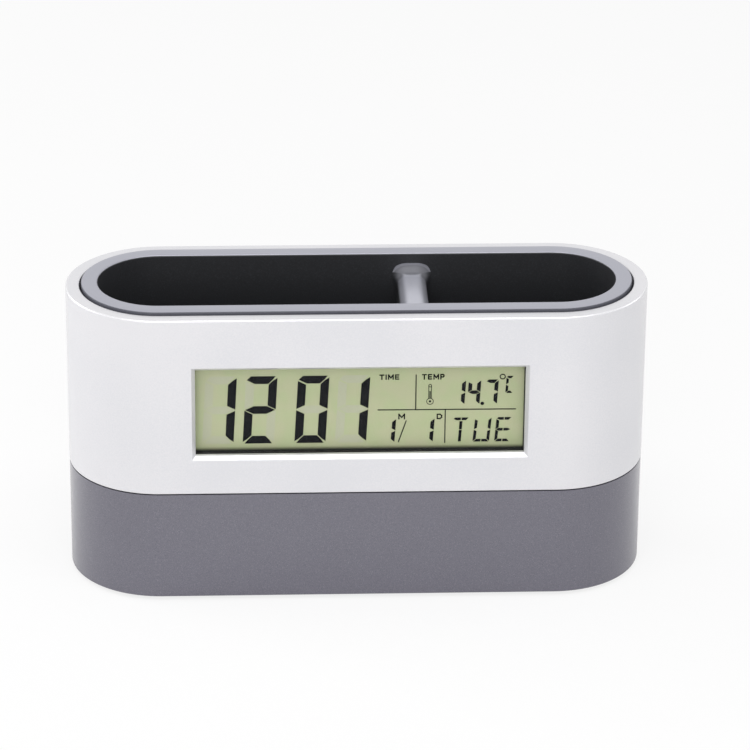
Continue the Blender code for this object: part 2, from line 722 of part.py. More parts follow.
def add_case_bosses(sleeve):
    """Four bosses in the round ends that take the case screws."""
    for number, (side, face) in corner_signs():
        x, y = case_screw_place(side, face)
        top = SLEEVE_BOTTOM + CASE_BOSS_HEIGHT
        fuse(sleeve, rod(f"case_boss_{number}", BOSS_RADIUS, (x, y, SLEEVE_BOTTOM), (x, y, top)))
        bore = SCREW_RADIUS + SCREW_HOLE_GAP
        past = SLEEVE_BOTTOM - CUT_PAST
        bottom = SLEEVE_BOTTOM + CASE_SCREW_BITE + FIT
        cut(sleeve, rod(f"case_boss_bore_{number}", bore, (x, y, past), (x, y, bottom), None, BORE_STEPS))


# Tray liner


def step_prism(name, step_y, corner_z, radius):
    """The room in front of a stepped wall: upright below, then a ramp at 45 degrees up to the rim."""
    clear = CASING[1] + CUT_PAST
    low = TRAY_UNDERSIDE - TRAY_BOSS_HEIGHT - CUT_PAST
    run = LINER_MOUTH[1] + LINER_WALL + step_y
    outline = [(-clear, low), (step_y, low), (step_y, corner_z), (step_y - run, corner_z + run)]
    corner = rounded(outline[1:], radius)
    points = [Vector(outline[0])] + corner + [Vector((-clear, corner_z + run))]
    rings = [[(side * CASING[0], y, z) for y, z in points] for side in (-1, 1)]
    return loft(name, rings)


def divider_ring(y, rise):
    """One section of the divider: drafted sides under a rounded crown."""
    half = DIVIDER_WIDTH / 2 + rise
    crown_base = CREST + rise - DIVIDER_CROWN
    low = TRAY_UNDERSIDE
    points = [(DIVIDER_X - half - DIVIDER_DRAFT, y, low)]
    steps = 4 * EDGE_STEPS
    for step in range(steps + 1):
        angle = math.pi * (1 - step / steps)
        x = DIVIDER_X + half * math.cos(angle)
        points.append((x, y, crown_base + DIVIDER_CROWN * math.sin(angle)))
    points.append((DIVIDER_X + half + DIVIDER_DRAFT, y, low))
    return points


def divider_form():
    """The divider between the compartments, which flares where it meets the front and back walls."""
    wall = LINER_MOUTH[1]
    stations = [(-wall - CUT_PAST, DIVIDER_FLARE)]
    steps = 2 * EDGE_STEPS
    for step in range(steps + 1):
        angle = math.pi / 2 * step / steps
        away = DIVIDER_FLARE * (1 - math.cos(angle))
        stations.append((-wall + away, DIVIDER_FLARE * (1 - math.sin(angle))))
    stations += [(-y, rise) for y, rise in reversed(stations)]
    return loft("divider_form", [divider_ring(y, rise) for y, rise in stations])


def make_liner():
    """The tray liner: a drafted tub with a stepped front, a divider and a rounded rim."""
    wall_bottom = inset(LINER_BOTTOM, -LINER_WALL)
    wall_top = inset(LINER_MOUTH, -LINER_WALL)
    outside = edge_arc(wall_bottom, TRAY_UNDERSIDE + LINER_FLOOR, LINER_FLOOR, -90, 0)
    outside += [(*wall_top, SHOULDER_BOTTOM), (*SHOULDER, SHOULDER_BOTTOM), (*SHOULDER, SHOULDER_TOP)]
    outside += [(*LINER_RIM_OUTLINE, SHOULDER_TOP)]
    outside += edge_arc(LINER_RIM_OUTLINE, LINER_TOP - LINER_EDGE, LINER_EDGE, 0, 90)
    liner = loft("tray_liner", [stadium(*station) for station in outside], LINER_GREY)

    # The rounded lip leans a little past the top face, so that the two faces cross at an angle
    lip_centre = LINER_TOP - LIP_EDGE * math.sin(math.radians(LIP_CROSSING))
    inside = edge_arc(LINER_BOTTOM, TRAY_FLOOR + LINER_FLOOR_ROUND, LINER_FLOOR_ROUND, -90, 0)
    inside += edge_arc(LINER_MOUTH, lip_centre, LIP_EDGE, 0, LIP_END, grow=1)
    inside += [(inside[-1][0], inside[-1][1], LINER_TOP + CUT_PAST)]
    hollow = loft("tray_hollow", [stadium(*station) for station in inside])

    corner = RAMP_START + LINER_WALL * math.tan(math.radians(RAMP_ANGLE / 2))
    cut(hollow, step_prism("step_inside", STEP_Y + LINER_WALL, corner, STEP_ROUND + LINER_WALL))
    cut(hollow, divider_form())
    cut(liner, step_prism("step_outside", STEP_Y, RAMP_START, STEP_ROUND))
    cut(liner, hollow)
    add_divider_core(liner)
    add_tray_bosses(liner)
    return liner


def add_divider_core(liner):
    """The divider is a double wall, open from underneath."""
    bottom_half = DIVIDER_WIDTH / 2 + DIVIDER_DRAFT - DIVIDER_WALL
    top_half = DIVIDER_WIDTH / 2 - DIVIDER_WALL
    front = STEP_Y + 2 * LINER_WALL
    back = LINER_BOTTOM[1] - LINER_WALL
    top = CREST - DIVIDER_CROWN - DIVIDER_WALL / 2
    rings = []
    for half, z in ((bottom_half, TRAY_UNDERSIDE - CUT_PAST), (top_half, top)):
        corners = ((-half, front), (half, front), (half, back), (-half, back))
        rings.append([(DIVIDER_X + x, y, z) for x, y in corners])
    cut(liner, loft("divider_core", rings))


def add_tray_bosses(liner):
    """Four bosses under the tray that take its screws."""
    for number, (side, face) in corner_signs():
        x, y = tray_screw_place(side, face)
        root = TRAY_UNDERSIDE + EMBED
        fuse(liner, rod(f"tray_boss_{number}", BOSS_RADIUS, (x, y, TRAY_BOSS_BOTTOM), (x, y, root)))
        bore = SCREW_RADIUS + SCREW_HOLE_GAP
        past = TRAY_BOSS_BOTTOM - CUT_PAST
        bottom = TRAY_BOSS_BOTTOM + TRAY_SCREW_BITE + FIT
        cut(liner, rod(f"tray_boss_bore_{number}", bore, (x, y, past), (x, y, bottom), None, BORE_STEPS))


# Base shell


def make_base():
    """The grey base: an open cup with a tongue that locates the sleeve."""
    stations = edge_arc(BASE_OUTLINE, BASE_BOTTOM + BASE_EDGE, BASE_EDGE, -90, 0)
    stations += [(*BASE_OUTLINE, SEAM), (*TONGUE, SEAM), (*TONGUE, SEAM + TONGUE_HEIGHT)]
    stations += [(*BASE_CAVITY, SEAM + TONGUE_HEIGHT), (*BASE_CAVITY, BASE_DECK)]
    base = loft("base_shell", [stadium(*station) for station in stations], GREY)
    add_board_rails(base)
    add_battery_housing(base)
    add_screw_posts(base)
    add_key_openings(base)
    add_buzzer_cup(base)
    add_foot_recesses(base)
    return base


def add_battery_housing(base):
    """The battery box, its door seat and the pockets for the door's hooks and nib."""
    root = BASE_DECK - EMBED
    wall_x = BAY_X + HOUSING_WALL
    wall_y = BAY_Y + HOUSING_WALL
    low = (-SEAT_X, HOUSING_Y - SEAT_Y, root)
    fuse(base, box("door_seat", low, (SEAT_X, HOUSING_Y + SEAT_Y, SEAT_TOP)))
    low = (-wall_x, HOUSING_Y - wall_y, root)
    fuse(base, box("battery_box", low, (wall_x, HOUSING_Y + wall_y, HOUSING_TOP)))
    past = BASE_BOTTOM - CUT_PAST
    low = (-RECESS_X, HOUSING_Y - RECESS_Y, past)
    cut(base, box("door_recess", low, (RECESS_X, HOUSING_Y + RECESS_Y, SEAT)))
    low = (-BAY_X, HOUSING_Y - BAY_Y, past)
    cut(base, box("battery_bay", low, (BAY_X, HOUSING_Y + BAY_Y, HOUSING_CEILING)))
    for side in (-1, 1):
        middle = HOUSING_Y + side * HOOK_SPREAD / 2
        half = HOOK_WIDTH / 2 + FIT
        low = (-RECESS_X - HOOK_POCKET, middle - half, DOOR_TOP - HOOK_THICK - FIT / 2)
        high = (-RECESS_X + HOOK_BACK, middle + half, BASE_BOTTOM + HOOK_POCKET_TOP)
        cut(base, box(f"hook_pocket_{side + 2}", low, high))
        cut_tab_slot(base, side)
    nib_half = TONGUE_WIDTH / 2 - TONGUE_SLOT
    low = (RECESS_X - FIT, HOUSING_Y - nib_half, DOOR_TOP - NIB_THICK - FIT)
    cut(base, box("nib_pocket", low, (RECESS_X + NIB_POCKET, HOUSING_Y + nib_half, SEAT)))


def cut_tab_slot(base, side):
    """A slot in the roof of the battery box, for the solder tab of one contact."""
    middle = HOUSING_Y + side * CELL_Y
    half = TAB_WIDTH / 2 + FIT
    low = (-BAY_X, middle - half, HOUSING_CEILING - CUT_PAST)
    high = (-CONTACT_FACE + FIT, middle + half, HOUSING_TOP + CUT_PAST)
    cut(base, box(f"tab_slot_{side + 2}", low, high))


def add_screw_posts(base):
    """Deep-set screw posts: four for the sleeve in the round ends, and four for the tray."""
    root = BASE_DECK - EMBED
    past = BASE_BOTTOM - CUT_PAST
    for number, (side, face) in corner_signs():
        for kind, place, top in (
            ("case", case_screw_place(side, face), SEAM),
            ("tray", tray_screw_place(side, face), TRAY_POST_TOP),
        ):
            x, y = place
            name = f"{kind}_post_{number}"
            fuse(base, rod(name, POST_RADIUS, (x, y, root), (x, y, top)))
            shelf = top - POST_SHELF
            wide = SCREW_HEAD_RADIUS + COUNTERBORE_GAP
            cut(base, rod(f"{name}_counterbore", wide, (x, y, past), (x, y, shelf)))
            narrow = SCREW_RADIUS + SCREW_HOLE_GAP
            start = (x, y, shelf - EMBED)
            cut(base, rod(f"{name}_bore", narrow, start, (x, y, top + CUT_PAST), None, BORE_STEPS))
            if kind == "case":
                room = SEAM + TONGUE_HEIGHT + CUT_PAST
                cut(base, rod(f"tongue_notch_{number}", BOSS_RADIUS + FIT, (x, y, SEAM), (x, y, room)))


def add_key_openings(base):
    """The sunk strip on the back with its key holes, and the vents beside it."""
    wall = BASE_OUTLINE[1]
    span = KEY_PITCH * (len(KEY_NAMES) - 1) + KEY_LENGTH + 2 * POCKET_MARGIN
    high = KEY_HEIGHT + 2 * POCKET_MARGIN
    cut(base, capsule("key_strip", span, high, POCKET_FACE, wall + CUT_PAST, 0, KEY_Z))
    for x, name in zip(key_places(), KEY_NAMES):
        long = KEY_LENGTH + 2 * KEY_GAP
        tall = KEY_HEIGHT + 2 * KEY_GAP
        cut(base, capsule(f"{name}_key_hole", long, tall, BACK_INSIDE - CUT_PAST, wall, x, KEY_Z))
    for index in range(VENT_COUNT):
        name = f"vent_{index + 1}"
        z = KEY_Z + (index - (VENT_COUNT - 1) / 2) * VENT_PITCH
        inner = BACK_INSIDE - CUT_PAST
        cut(base, capsule(name, VENT_LENGTH, VENT_HEIGHT, inner, wall + CUT_PAST, VENT_X, z))


def add_board_rails(base):
    """Two slotted rails that the key board stands in."""
    for side in (-1, 1):
        low_y = KEY_BOARD_FRONT - FIT - RAIL_THICK
        high_y = KEY_BOARD_BACK + FIT + RAIL_THICK
        low_x = side * RAIL_X - RAIL_WIDTH / 2
        high_x = side * RAIL_X + RAIL_WIDTH / 2
        top = KEY_BOARD_BOTTOM + RAIL_HEIGHT
        root = BASE_DECK - EMBED
        fuse(base, box(f"board_rail_{side + 2}", (low_x, low_y, root), (high_x, high_y, top)))
        slot_low = (low_x - CUT_PAST, KEY_BOARD_FRONT - FIT, SEAT_TOP)
        slot_high = (high_x + CUT_PAST, KEY_BOARD_BACK + FIT, top + CUT_PAST)
        cut(base, box(f"board_slot_{side + 2}", slot_low, slot_high))


def add_buzzer_cup(base):
    """A round cup on the floor for the buzzer, over a ring of sound holes."""
    ledge = BASE_DECK + BUZZER_LEDGE
    rim = ledge + BUZZER_CUP_DEPTH
    outer = BUZZER_RADIUS + FIT + BUZZER_CUP_WALL
    place = Vector((BUZZER_X, 0, 0))
    root = place + AXIS_Z * (BASE_DECK - EMBED)
    fuse(base, rod("buzzer_cup", outer, root, place + AXIS_Z * rim, None, WIDE_STEPS))
    top = place + AXIS_Z * (rim + CUT_PAST)
    room = BUZZER_RADIUS + FIT
    cut(base, rod("buzzer_room", room, place + AXIS_Z * ledge, top, None, WIDE_STEPS))
    inner = BUZZER_RADIUS - BUZZER_LEDGE_WIDTH
    cut(base, rod("buzzer_chamber", inner, place + AXIS_Z * BASE_DECK, top, None, WIDE_STEPS))
    for index in range(SOUND_HOLE_COUNT + 1):
        angle = 2 * math.pi * index / SOUND_HOLE_COUNT
        ring = SOUND_HOLE_RING if index < SOUND_HOLE_COUNT else 0.0
        spot = place + Vector((ring * math.cos(angle), ring * math.sin(angle), 0))
        low = spot + AXIS_Z * (BASE_BOTTOM - CUT_PAST)
        high = spot + AXIS_Z * (BASE_DECK + EMBED)
        cut(base, rod(f"sound_hole_{index + 1}", SOUND_HOLE_RADIUS, low, high, None, BORE_STEPS))


def add_foot_recesses(base):
    """Shallow round seats for the rubber feet."""
    for number, (side, face) in corner_signs():
        x = side * FOOT_PLACE[0]
        y = face * FOOT_PLACE[1]
        low = (x, y, BASE_BOTTOM - CUT_PAST)
        top = (x, y, BASE_BOTTOM + FOOT_SUNK + FIT)
        cut(base, rod(f"foot_recess_{number}", FOOT_RADIUS + FIT, low, top, None, WIDE_STEPS))


# Clock module


def make_lens():
    """The clear pane behind the window."""
    half_x = WINDOW_WIDTH / 2 + LENS_MARGIN
    half_z = WINDOW_HEIGHT / 2 + LENS_MARGIN
    low = (WINDOW_X - half_x, LENS_FRONT, WINDOW_Z - half_z)
    high = (WINDOW_X + half_x, LENS_FRONT + LENS_THICK, WINDOW_Z + half_z)
    box("window_lens", low, high, CLEAR)


def make_lcd_frame():
    """The black frame: a lip round the visible glass, and a pocket that holds glass and strips."""
    low = (-FRAME_WIDTH / 2, FRAME_FRONT, MODULE_Z - FRAME_HEIGHT / 2)
    high = (FRAME_WIDTH / 2, FRAME_BACK, MODULE_Z + FRAME_HEIGHT / 2)
    frame = box("lcd_frame", low, high, BLACK)
    low = (-POCKET_WIDTH / 2, FRAME_FRONT + FRAME_LIP, MODULE_Z - POCKET_HEIGHT / 2)
    high = (POCKET_WIDTH / 2, FRAME_BACK + CUT_PAST, MODULE_Z + POCKET_HEIGHT / 2)
    cut(frame, box("glass_pocket", low, high))
    low = (-WINDOW_WIDTH / 2, FRAME_FRONT - CUT_PAST, MODULE_Z - WINDOW_HEIGHT / 2)
    high = (WINDOW_WIDTH / 2, FRAME_FRONT + FRAME_LIP + EMBED, MODULE_Z + WINDOW_HEIGHT / 2)
    cut(frame, box("frame_opening", low, high))


def make_lcd():
    """The display glass and the two rubber strips that connect it to the board."""
    low = (-LCD_WIDTH / 2, LCD_FRONT, MODULE_Z - LCD_HEIGHT / 2)
    high = (LCD_WIDTH / 2, LCD_BACK, MODULE_Z + LCD_HEIGHT / 2)
    box("lcd_panel", low, high, LCD_GREEN)
    for name, side in (("zebra_strip_lower", -1), ("zebra_strip_upper", 1)):
        middle = MODULE_Z + side * (LCD_HEIGHT / 2 - STRIP_HEIGHT / 2)
        low = (-LCD_WIDTH / 2, STRIP_FRONT, middle - STRIP_HEIGHT / 2)
        high = (LCD_WIDTH / 2, STRIP_FRONT + STRIP_THICK, middle + STRIP_HEIGHT / 2)
        box(name, low, high, CONDUCTIVE)


def make_main_board():
    """The main board with its chip under a blob of epoxy, and its quartz crystal."""
    low = (-PCB_WIDTH / 2, PCB_FRONT, PCB_BOTTOM)
    board = box("main_board", low, (PCB_WIDTH / 2, PCB_BACK, PCB_TOP), BOARD_GREEN)
    for number, (side, face) in corner_signs():
        x, z = board_screw_place(side, face)
        bore = PCB_SCREW_RADIUS + SCREW_HOLE_GAP
        start = (x, PCB_FRONT - CUT_PAST, z)
        cut(board, rod(f"board_hole_{number}", bore, start, (x, PCB_BACK + CUT_PAST, z), None, BORE_STEPS))
    profile = dome(CHIP_RADIUS, PCB_SCREW_HEAD_THICK, math.pi / 2) + [(0, 0)]
    turned("clock_chip", profile, EPOXY, (CHIP_X, PCB_BACK + FIT, WINDOW_Z), AXIS_Y)
    y = PCB_FRONT - FIT - CRYSTAL_RADIUS
    z = PCB_BOTTOM + FIT + CRYSTAL_RADIUS
    start = (CRYSTAL_X, y, z)
    rod("quartz_crystal", CRYSTAL_RADIUS, start, (CRYSTAL_X + CRYSTAL_LENGTH, y, z), NICKEL)


# Batteries, contacts and door


def cell_row(side):
    """The Y position of one cell, and the end that its positive nub points to."""
    return HOUSING_Y + side * CELL_Y, side


def make_cells():
    """Two AAA cells side by side, pointing opposite ways."""
    rim = CELL_RADIUS - FIT
    shoulder = CELL_LENGTH - CELL_NUB
    profile = [
        (0, CELL_LENGTH),
        (CELL_NUB_RADIUS, CELL_LENGTH),
        (CELL_NUB_RADIUS, shoulder),
        (rim, shoulder),
        (CELL_RADIUS, shoulder - FIT),
        (CELL_RADIUS, FIT),
        (rim, 0),
        (0, 0),
    ]
    for number, side in ((1, 1), (2, -1)):
        y, way = cell_row(side)
        tail = way * (CONTACT_FACE - FIT - CELL_LENGTH)
        place = (tail, y, CELL_AXIS)
        turned(f"battery_{number}", profile, CELL_BLUE, place, AXIS_X * way, WIDE_STEPS)


def contact_plate(name, end, low_y, high_y):
    """A stamped contact plate standing at one end of the bay; end is -1 or 1."""
    low_x, high_x = sorted((end * CONTACT_FACE, end * CONTACT_BACK))
    low_z = CELL_AXIS - CONTACT_HEIGHT / 2
    return box(name, (low_x, low_y, low_z), (high_x, high_y, low_z + CONTACT_HEIGHT), NICKEL)


def add_spring(plate, name, end, y):
    """A conical spring wound from one wire, standing on its plate."""
    count = int(SPRING_STEPS * SPRING_TURNS)
    rise = SPRING_LENGTH - SPRING_WIRE
    points = []
    for index in range(count + 1):
        share = index / count
        radius = SPRING_FOOT_RADIUS + (SPRING_TIP_RADIUS - SPRING_FOOT_RADIUS) * share
        angle = 2 * math.pi * SPRING_TURNS * share
        x = end * (CONTACT_FACE - rise * share)
        points.append((x, y + radius * math.cos(angle), CELL_AXIS + radius * math.sin(angle)))
    fuse(plate, wire_tool(name, points, SPRING_WIRE))


def add_solder_tab(plate, name, y):
    """The tab that reaches through the roof of the battery box."""
    low = (-CONTACT_BACK, y - TAB_WIDTH / 2, CELL_AXIS)
    fuse(plate, box(name, low, (-CONTACT_FACE, y + TAB_WIDTH / 2, HOUSING_TOP + TAB_PROUD)))


def make_contacts():
    """A bridge across both cells at one end, and a separate contact for each at the other."""
    half = CONTACT_WIDTH / 2
    upper, _ = cell_row(1)
    lower, _ = cell_row(-1)
    bridge = contact_plate("battery_bridge_contact", 1, lower - half, upper + half)
    add_spring(bridge, "bridge_spring", 1, lower)
    negative = contact_plate("negative_contact", -1, upper - half, upper + half)
    add_spring(negative, "negative_spring", -1, upper)
    add_solder_tab(negative, "negative_tab", upper)
    positive = contact_plate("positive_contact", -1, lower - half, lower + half)
    add_solder_tab(positive, "positive_tab", lower)


def make_door(root):
    """The battery door, with two hooks at one end and a springy tongue with a nib at the other."""
    hinge = bpy.data.objects.new("battery_door_hinge", None)
    hinge.location = (-RECESS_X, HOUSING_Y, BASE_BOTTOM)
    hinge.parent = root
    PIECES.objects.link(hinge)
    low = (-DOOR_X, HOUSING_Y - DOOR_Y, BASE_BOTTOM)
    door = box("battery_door", low, (DOOR_X, HOUSING_Y + DOOR_Y, DOOR_TOP), GREY)
    for side in (-1, 1):
        middle = HOUSING_Y + side * HOOK_SPREAD / 2
        low = (-RECESS_X - HOOK_REACH, middle - HOOK_WIDTH / 2, DOOR_TOP - HOOK_THICK)
        high = (-DOOR_X + EMBED, middle + HOOK_WIDTH / 2, DOOR_TOP)
        fuse(door, box(f"door_hook_{side + 2}", low, high))
        slot_middle = HOUSING_Y + side * TONGUE_WIDTH / 2
        low = (DOOR_X - TONGUE_LENGTH, slot_middle - TONGUE_SLOT / 2, BASE_BOTTOM - CUT_PAST)
        high = (DOOR_X + CUT_PAST, slot_middle + TONGUE_SLOT / 2, DOOR_TOP + CUT_PAST)
        cut(door, box(f"tongue_slot_{side + 2}", low, high))
    nib_half = TONGUE_WIDTH / 2 - TONGUE_SLOT - FIT
    low = (DOOR_X - EMBED, HOUSING_Y - nib_half, DOOR_TOP - NIB_THICK)
    fuse(door, box("tongue_nib", low, (DOOR_X + NIB_REACH, HOUSING_Y + nib_half, DOOR_TOP)))
    for index in range(GRIP_COUNT):
        x = DOOR_X - (index + 1) * GRIP_PITCH
        low = (x - GRIP_WIDTH / 2, HOUSING_Y - nib_half, BASE_BOTTOM - CUT_PAST)
        high = (x + GRIP_WIDTH / 2, HOUSING_Y + nib_half, BASE_BOTTOM + GRIP_DEPTH)
        cut(door, box(f"grip_groove_{index + 1}", low, high))
    return hinge, door


# Keys


def key_places():
    """The X positions of the keys, from left to right as seen from behind."""
    count = len(KEY_NAMES)
    return [((count - 1) / 2 - index) * KEY_PITCH for index in range(count)]


def make_keys(root):
    """Four round-ended keys, each with its switch and plunger, on one upright board."""
    low = (-KEY_BOARD_LENGTH / 2, KEY_BOARD_FRONT, KEY_BOARD_BOTTOM)
    box("key_board", low, (KEY_BOARD_LENGTH / 2, KEY_BOARD_BACK, KEY_BOARD_TOP), BOARD_GREEN)
    groups = []
    for x, name in zip(key_places(), KEY_NAMES):
        slide = bpy.data.objects.new(f"{name}_key_slide", None)
        slide.location = (x, KEY_FACE, KEY_Z)
        slide.parent = root
        PIECES.objects.link(slide)
        key = capsule(
            f"{name}_key", KEY_LENGTH, KEY_HEIGHT, FLANGE_FRONT, KEY_FACE, x, KEY_Z, KEY_GREY, KEY_EDGE
        )
        wide = KEY_LENGTH + 2 * KEY_FLANGE_MARGIN
        tall = KEY_HEIGHT + 2 * KEY_FLANGE_MARGIN
        fuse(key, capsule(f"{name}_key_flange", wide, tall, FLANGE_FRONT, FLANGE_BACK, x, KEY_Z))
        stem_root = FLANGE_FRONT + EMBED
        fuse(key, rod(f"{name}_key_stem", KEY_STEM_RADIUS, (x, STEM_END, KEY_Z), (x, stem_root, KEY_Z)))
        plunger_end = PLUNGER_TOP - PLUNGER_LENGTH
        start = (x, plunger_end, KEY_Z)
        plunger = rod(f"{name}_plunger", PLUNGER_RADIUS, start, (x, PLUNGER_TOP, KEY_Z), BLACK)
        make_switch(f"{name}_switch", x)
        groups.append((slide, (key, plunger)))
    return groups


def make_switch(name, x):
    """A tact switch body with the well that its plunger travels in."""
    half = SWITCH_SIDE / 2
    low = (x - half, SWITCH_FOOT, KEY_Z - half)
    switch = box(name, low, (x + half, SWITCH_TOP, KEY_Z + half), BLACK)
    bottom = (x, SWITCH_TOP - PLUNGER_WELL, KEY_Z)
    past = (x, SWITCH_TOP + CUT_PAST, KEY_Z)
    cut(switch, rod(f"{name}_well", PLUNGER_RADIUS + FIT, bottom, past))


def make_sensor():
    """The temperature sensor: a bead on two legs, beside the vents."""
    leg_start = KEY_BOARD_BACK + FIT
    bead_y = leg_start + SENSOR_LEG + SENSOR_RADIUS
    profile = dome(SENSOR_RADIUS, SENSOR_RADIUS, math.pi)
    profile[-1] = (0, -SENSOR_RADIUS)
    bead = turned("temperature_sensor", profile, EPOXY, (SENSOR_X, bead_y, KEY_Z), AXIS_Y, BORE_STEPS)
    for side in (-1, 1):
        z = KEY_Z + side * SENSOR_LEG_SPREAD / 2
        start = (SENSOR_X, leg_start, z)
        end = (SENSOR_X, bead_y, z)
        fuse(bead, rod(f"sensor_leg_{side + 2}", SENSOR_LEG_RADIUS, start, end, None, BORE_STEPS))


# Buzzer, wires, feet and screws


def make_buzzer():
    """A brass disc with a smaller ceramic disc on it."""
    top = BUZZER_PLATE + BUZZER_CERAMIC
    profile = [
        (0, top),
        (BUZZER_CERAMIC_RADIUS, top),
        (BUZZER_CERAMIC_RADIUS, BUZZER_PLATE),
        (BUZZER_RADIUS, BUZZER_PLATE),
        (BUZZER_RADIUS, 0),
        (0, 0),
    ]
    place = (BUZZER_X, 0, BASE_DECK + BUZZER_LEDGE + FIT)
    turned("buzzer", profile, BRASS, place, AXIS_Z, WIDE_STEPS)


def make_wires():
    """Two battery wires to the main board, the buzzer lead, and the ribbon between the boards."""
    start_x = -CONTACT_FACE + FIT
    start_z = HOUSING_TOP + FIT + WIRE_RADIUS
    gap_z = HOUSING_TOP + WIRING_GAP / 2
    front = -BASE_CAVITY[1] + WIRE_WALL_GAP
    end_y = PCB_FRONT - FIT
    end_z = PCB_BOTTOM + WIRE_SOLDER_RISE
    for name, side, material in (("positive_wire", -1, RED), ("negative_wire", 1, DARK)):
        y, _ = cell_row(side)
        x = WIRE_X + side * WIRE_SPREAD / 2
        route = [
            (start_x, y, start_z),
            (start_x + 2 * WIRE_BEND, y - WIRE_BEND / 2, gap_z),
            (x - WIRE_BEND, front + 4 * WIRE_BEND, gap_z),
            (x, front + WIRE_BEND, TRAY_FLOOR - WIRE_BEND / 2),
            (x, front, (TRAY_FLOOR + SEAM) / 2),
            (x, front + WIRE_BEND / 2, end_z - WIRE_BEND),
            (x, end_y - WIRE_BEND, end_z),
            (x, end_y, end_z),
        ]
        wire(name, smooth_route(route, ROUTE_STEPS), WIRE_RADIUS, material)
    make_buzzer_lead()
    make_ribbon(gap_z)


def make_buzzer_lead():
    """The lead from the buzzer, over the rim of its cup and round a screw post, to the key board."""
    start_x = BUZZER_X - BUZZER_CERAMIC_RADIUS
    start_z = BASE_DECK + BUZZER_LEDGE + BUZZER_PLATE + BUZZER_CERAMIC + 2 * FIT + WIRE_RADIUS
    end_x = KEY_BOARD_LENGTH / 2 + FIT
    end_y = (KEY_BOARD_FRONT + KEY_BOARD_BACK) / 2
    route = [
        (start_x + LEAD_BEND, LEAD_BEND, start_z),
        (start_x - LEAD_BEND / 2, 2 * LEAD_BEND, start_z + LEAD_BEND / 2),
        (TRAY_SCREW_X + 2.5 * LEAD_BEND, end_y - 1.5 * LEAD_BEND, KEY_Z - LEAD_BEND),
        (TRAY_SCREW_X, end_y - LEAD_BEND / 4, KEY_Z),
        (end_x + LEAD_BEND, end_y, KEY_Z),
        (end_x, end_y, KEY_Z),
    ]
    wire("buzzer_lead", smooth_route(route, ROUTE_STEPS), WIRE_RADIUS, DARK)


def make_ribbon(height):
    """A flat ribbon cable from the key board, under the tray and up behind the main board."""
    up_y = PCB_BACK + FIT + RIBBON_THICK / 2
    turn = RIBBON_BEND * (1 - math.cos(math.pi / 4))
    route = [
        (0, KEY_BOARD_FRONT - FIT, height),
        (0, KEY_BOARD_FRONT - RIBBON_BEND, height),
        (0, up_y + RIBBON_BEND, height),
        (0, up_y + turn, height + turn),
        (0, up_y, height + RIBBON_BEND),
        (0, up_y, PCB_BOTTOM + RIBBON_OVERLAP),
    ]
    points = smooth_route(route, ROUTE_STEPS)
    bm = bmesh.new()
    line = [bm.verts.new((-RIBBON_WIDTH / 2, point.y, point.z)) for point in points]
    edges = [bm.edges.new(pair) for pair in zip(line, line[1:])]
    wide = bmesh.ops.extrude_edge_only(bm, edges=edges)
    moved = [item for item in wide["geom"] if isinstance(item, bmesh.types.BMVert)]
    bmesh.ops.translate(bm, verts=moved, vec=(RIBBON_WIDTH, 0, 0))
    ribbon = add_object("ribbon_cable", finish(bm, "ribbon_cable"), RIBBON, (RIBBON_X, 0, 0))
    thick = ribbon.modifiers.new("thickness", "SOLIDIFY")
    thick.thickness = RIBBON_THICK
    thick.offset = 0


def screw_profile(radius, head_radius, head, length):
    """A pan head over a plain shank with a blunt point, from the head downwards."""
    edge = head / 3
    return [
        (0, head),
        (head_radius - edge, head),
        (head_radius, head - edge),
        (head_radius, 0),
        (radius, 0),
        (radius, -length + radius),
        (radius / 2, -length),
        (0, -length),
    ]


def make_screws():
    """Case and tray screws come up from under the base, and board screws come from behind."""
    case_length = POST_SHELF + 2 * FIT + CASE_SCREW_BITE
    tray_length = POST_SHELF + 2 * FIT + TRAY_SCREW_BITE
    board_length = PCB_THICK + 2 * FIT + PCB_SCREW_BITE
    long = screw_profile(SCREW_RADIUS, SCREW_HEAD_RADIUS, SCREW_HEAD_THICK, case_length)
    medium = screw_profile(SCREW_RADIUS, SCREW_HEAD_RADIUS, SCREW_HEAD_THICK, tray_length)
    short = screw_profile(PCB_SCREW_RADIUS, PCB_SCREW_HEAD_RADIUS, PCB_SCREW_HEAD_THICK, board_length)
    case_head = SEAM - POST_SHELF - FIT
    tray_head = TRAY_POST_TOP - POST_SHELF - FIT
    for number, (side, face) in corner_signs():
        x, y = case_screw_place(side, face)
        turned(f"case_screw_{number}", long, STEEL, (x, y, case_head), -AXIS_Z, BORE_STEPS)
        x, y = tray_screw_place(side, face)
        turned(f"tray_screw_{number}", medium, STEEL, (x, y, tray_head), -AXIS_Z, BORE_STEPS)
        x, z = board_screw_place(side, face)
        turned(f"board_screw_{number}", short, STEEL, (x, PCB_BACK + FIT, z), AXIS_Y, BORE_STEPS)


def make_feet():
    """Four rubber feet, flat underneath, set in the seats of the base."""
    tall = FOOT_PROUD + FOOT_SUNK
    profile = [
        (0, tall),
        (FOOT_RADIUS, tall),
        (FOOT_RADIUS, FOOT_EDGE),
        (FOOT_RADIUS - FOOT_EDGE, 0),
        (0, 0),
    ]
    for number, (side, face) in corner_signs():
        place = (side * FOOT_PLACE[0], face * FOOT_PLACE[1], 0)
        turned(f"rubber_foot_{number}", profile, RUBBER, place, AXIS_Z, WIDE_STEPS)


def keep_place(child, parent):
    """Parents an object without moving it."""
    child.parent = parent
    child.matrix_parent_inverse = Matrix.Translation(-parent.matrix_world.translation)


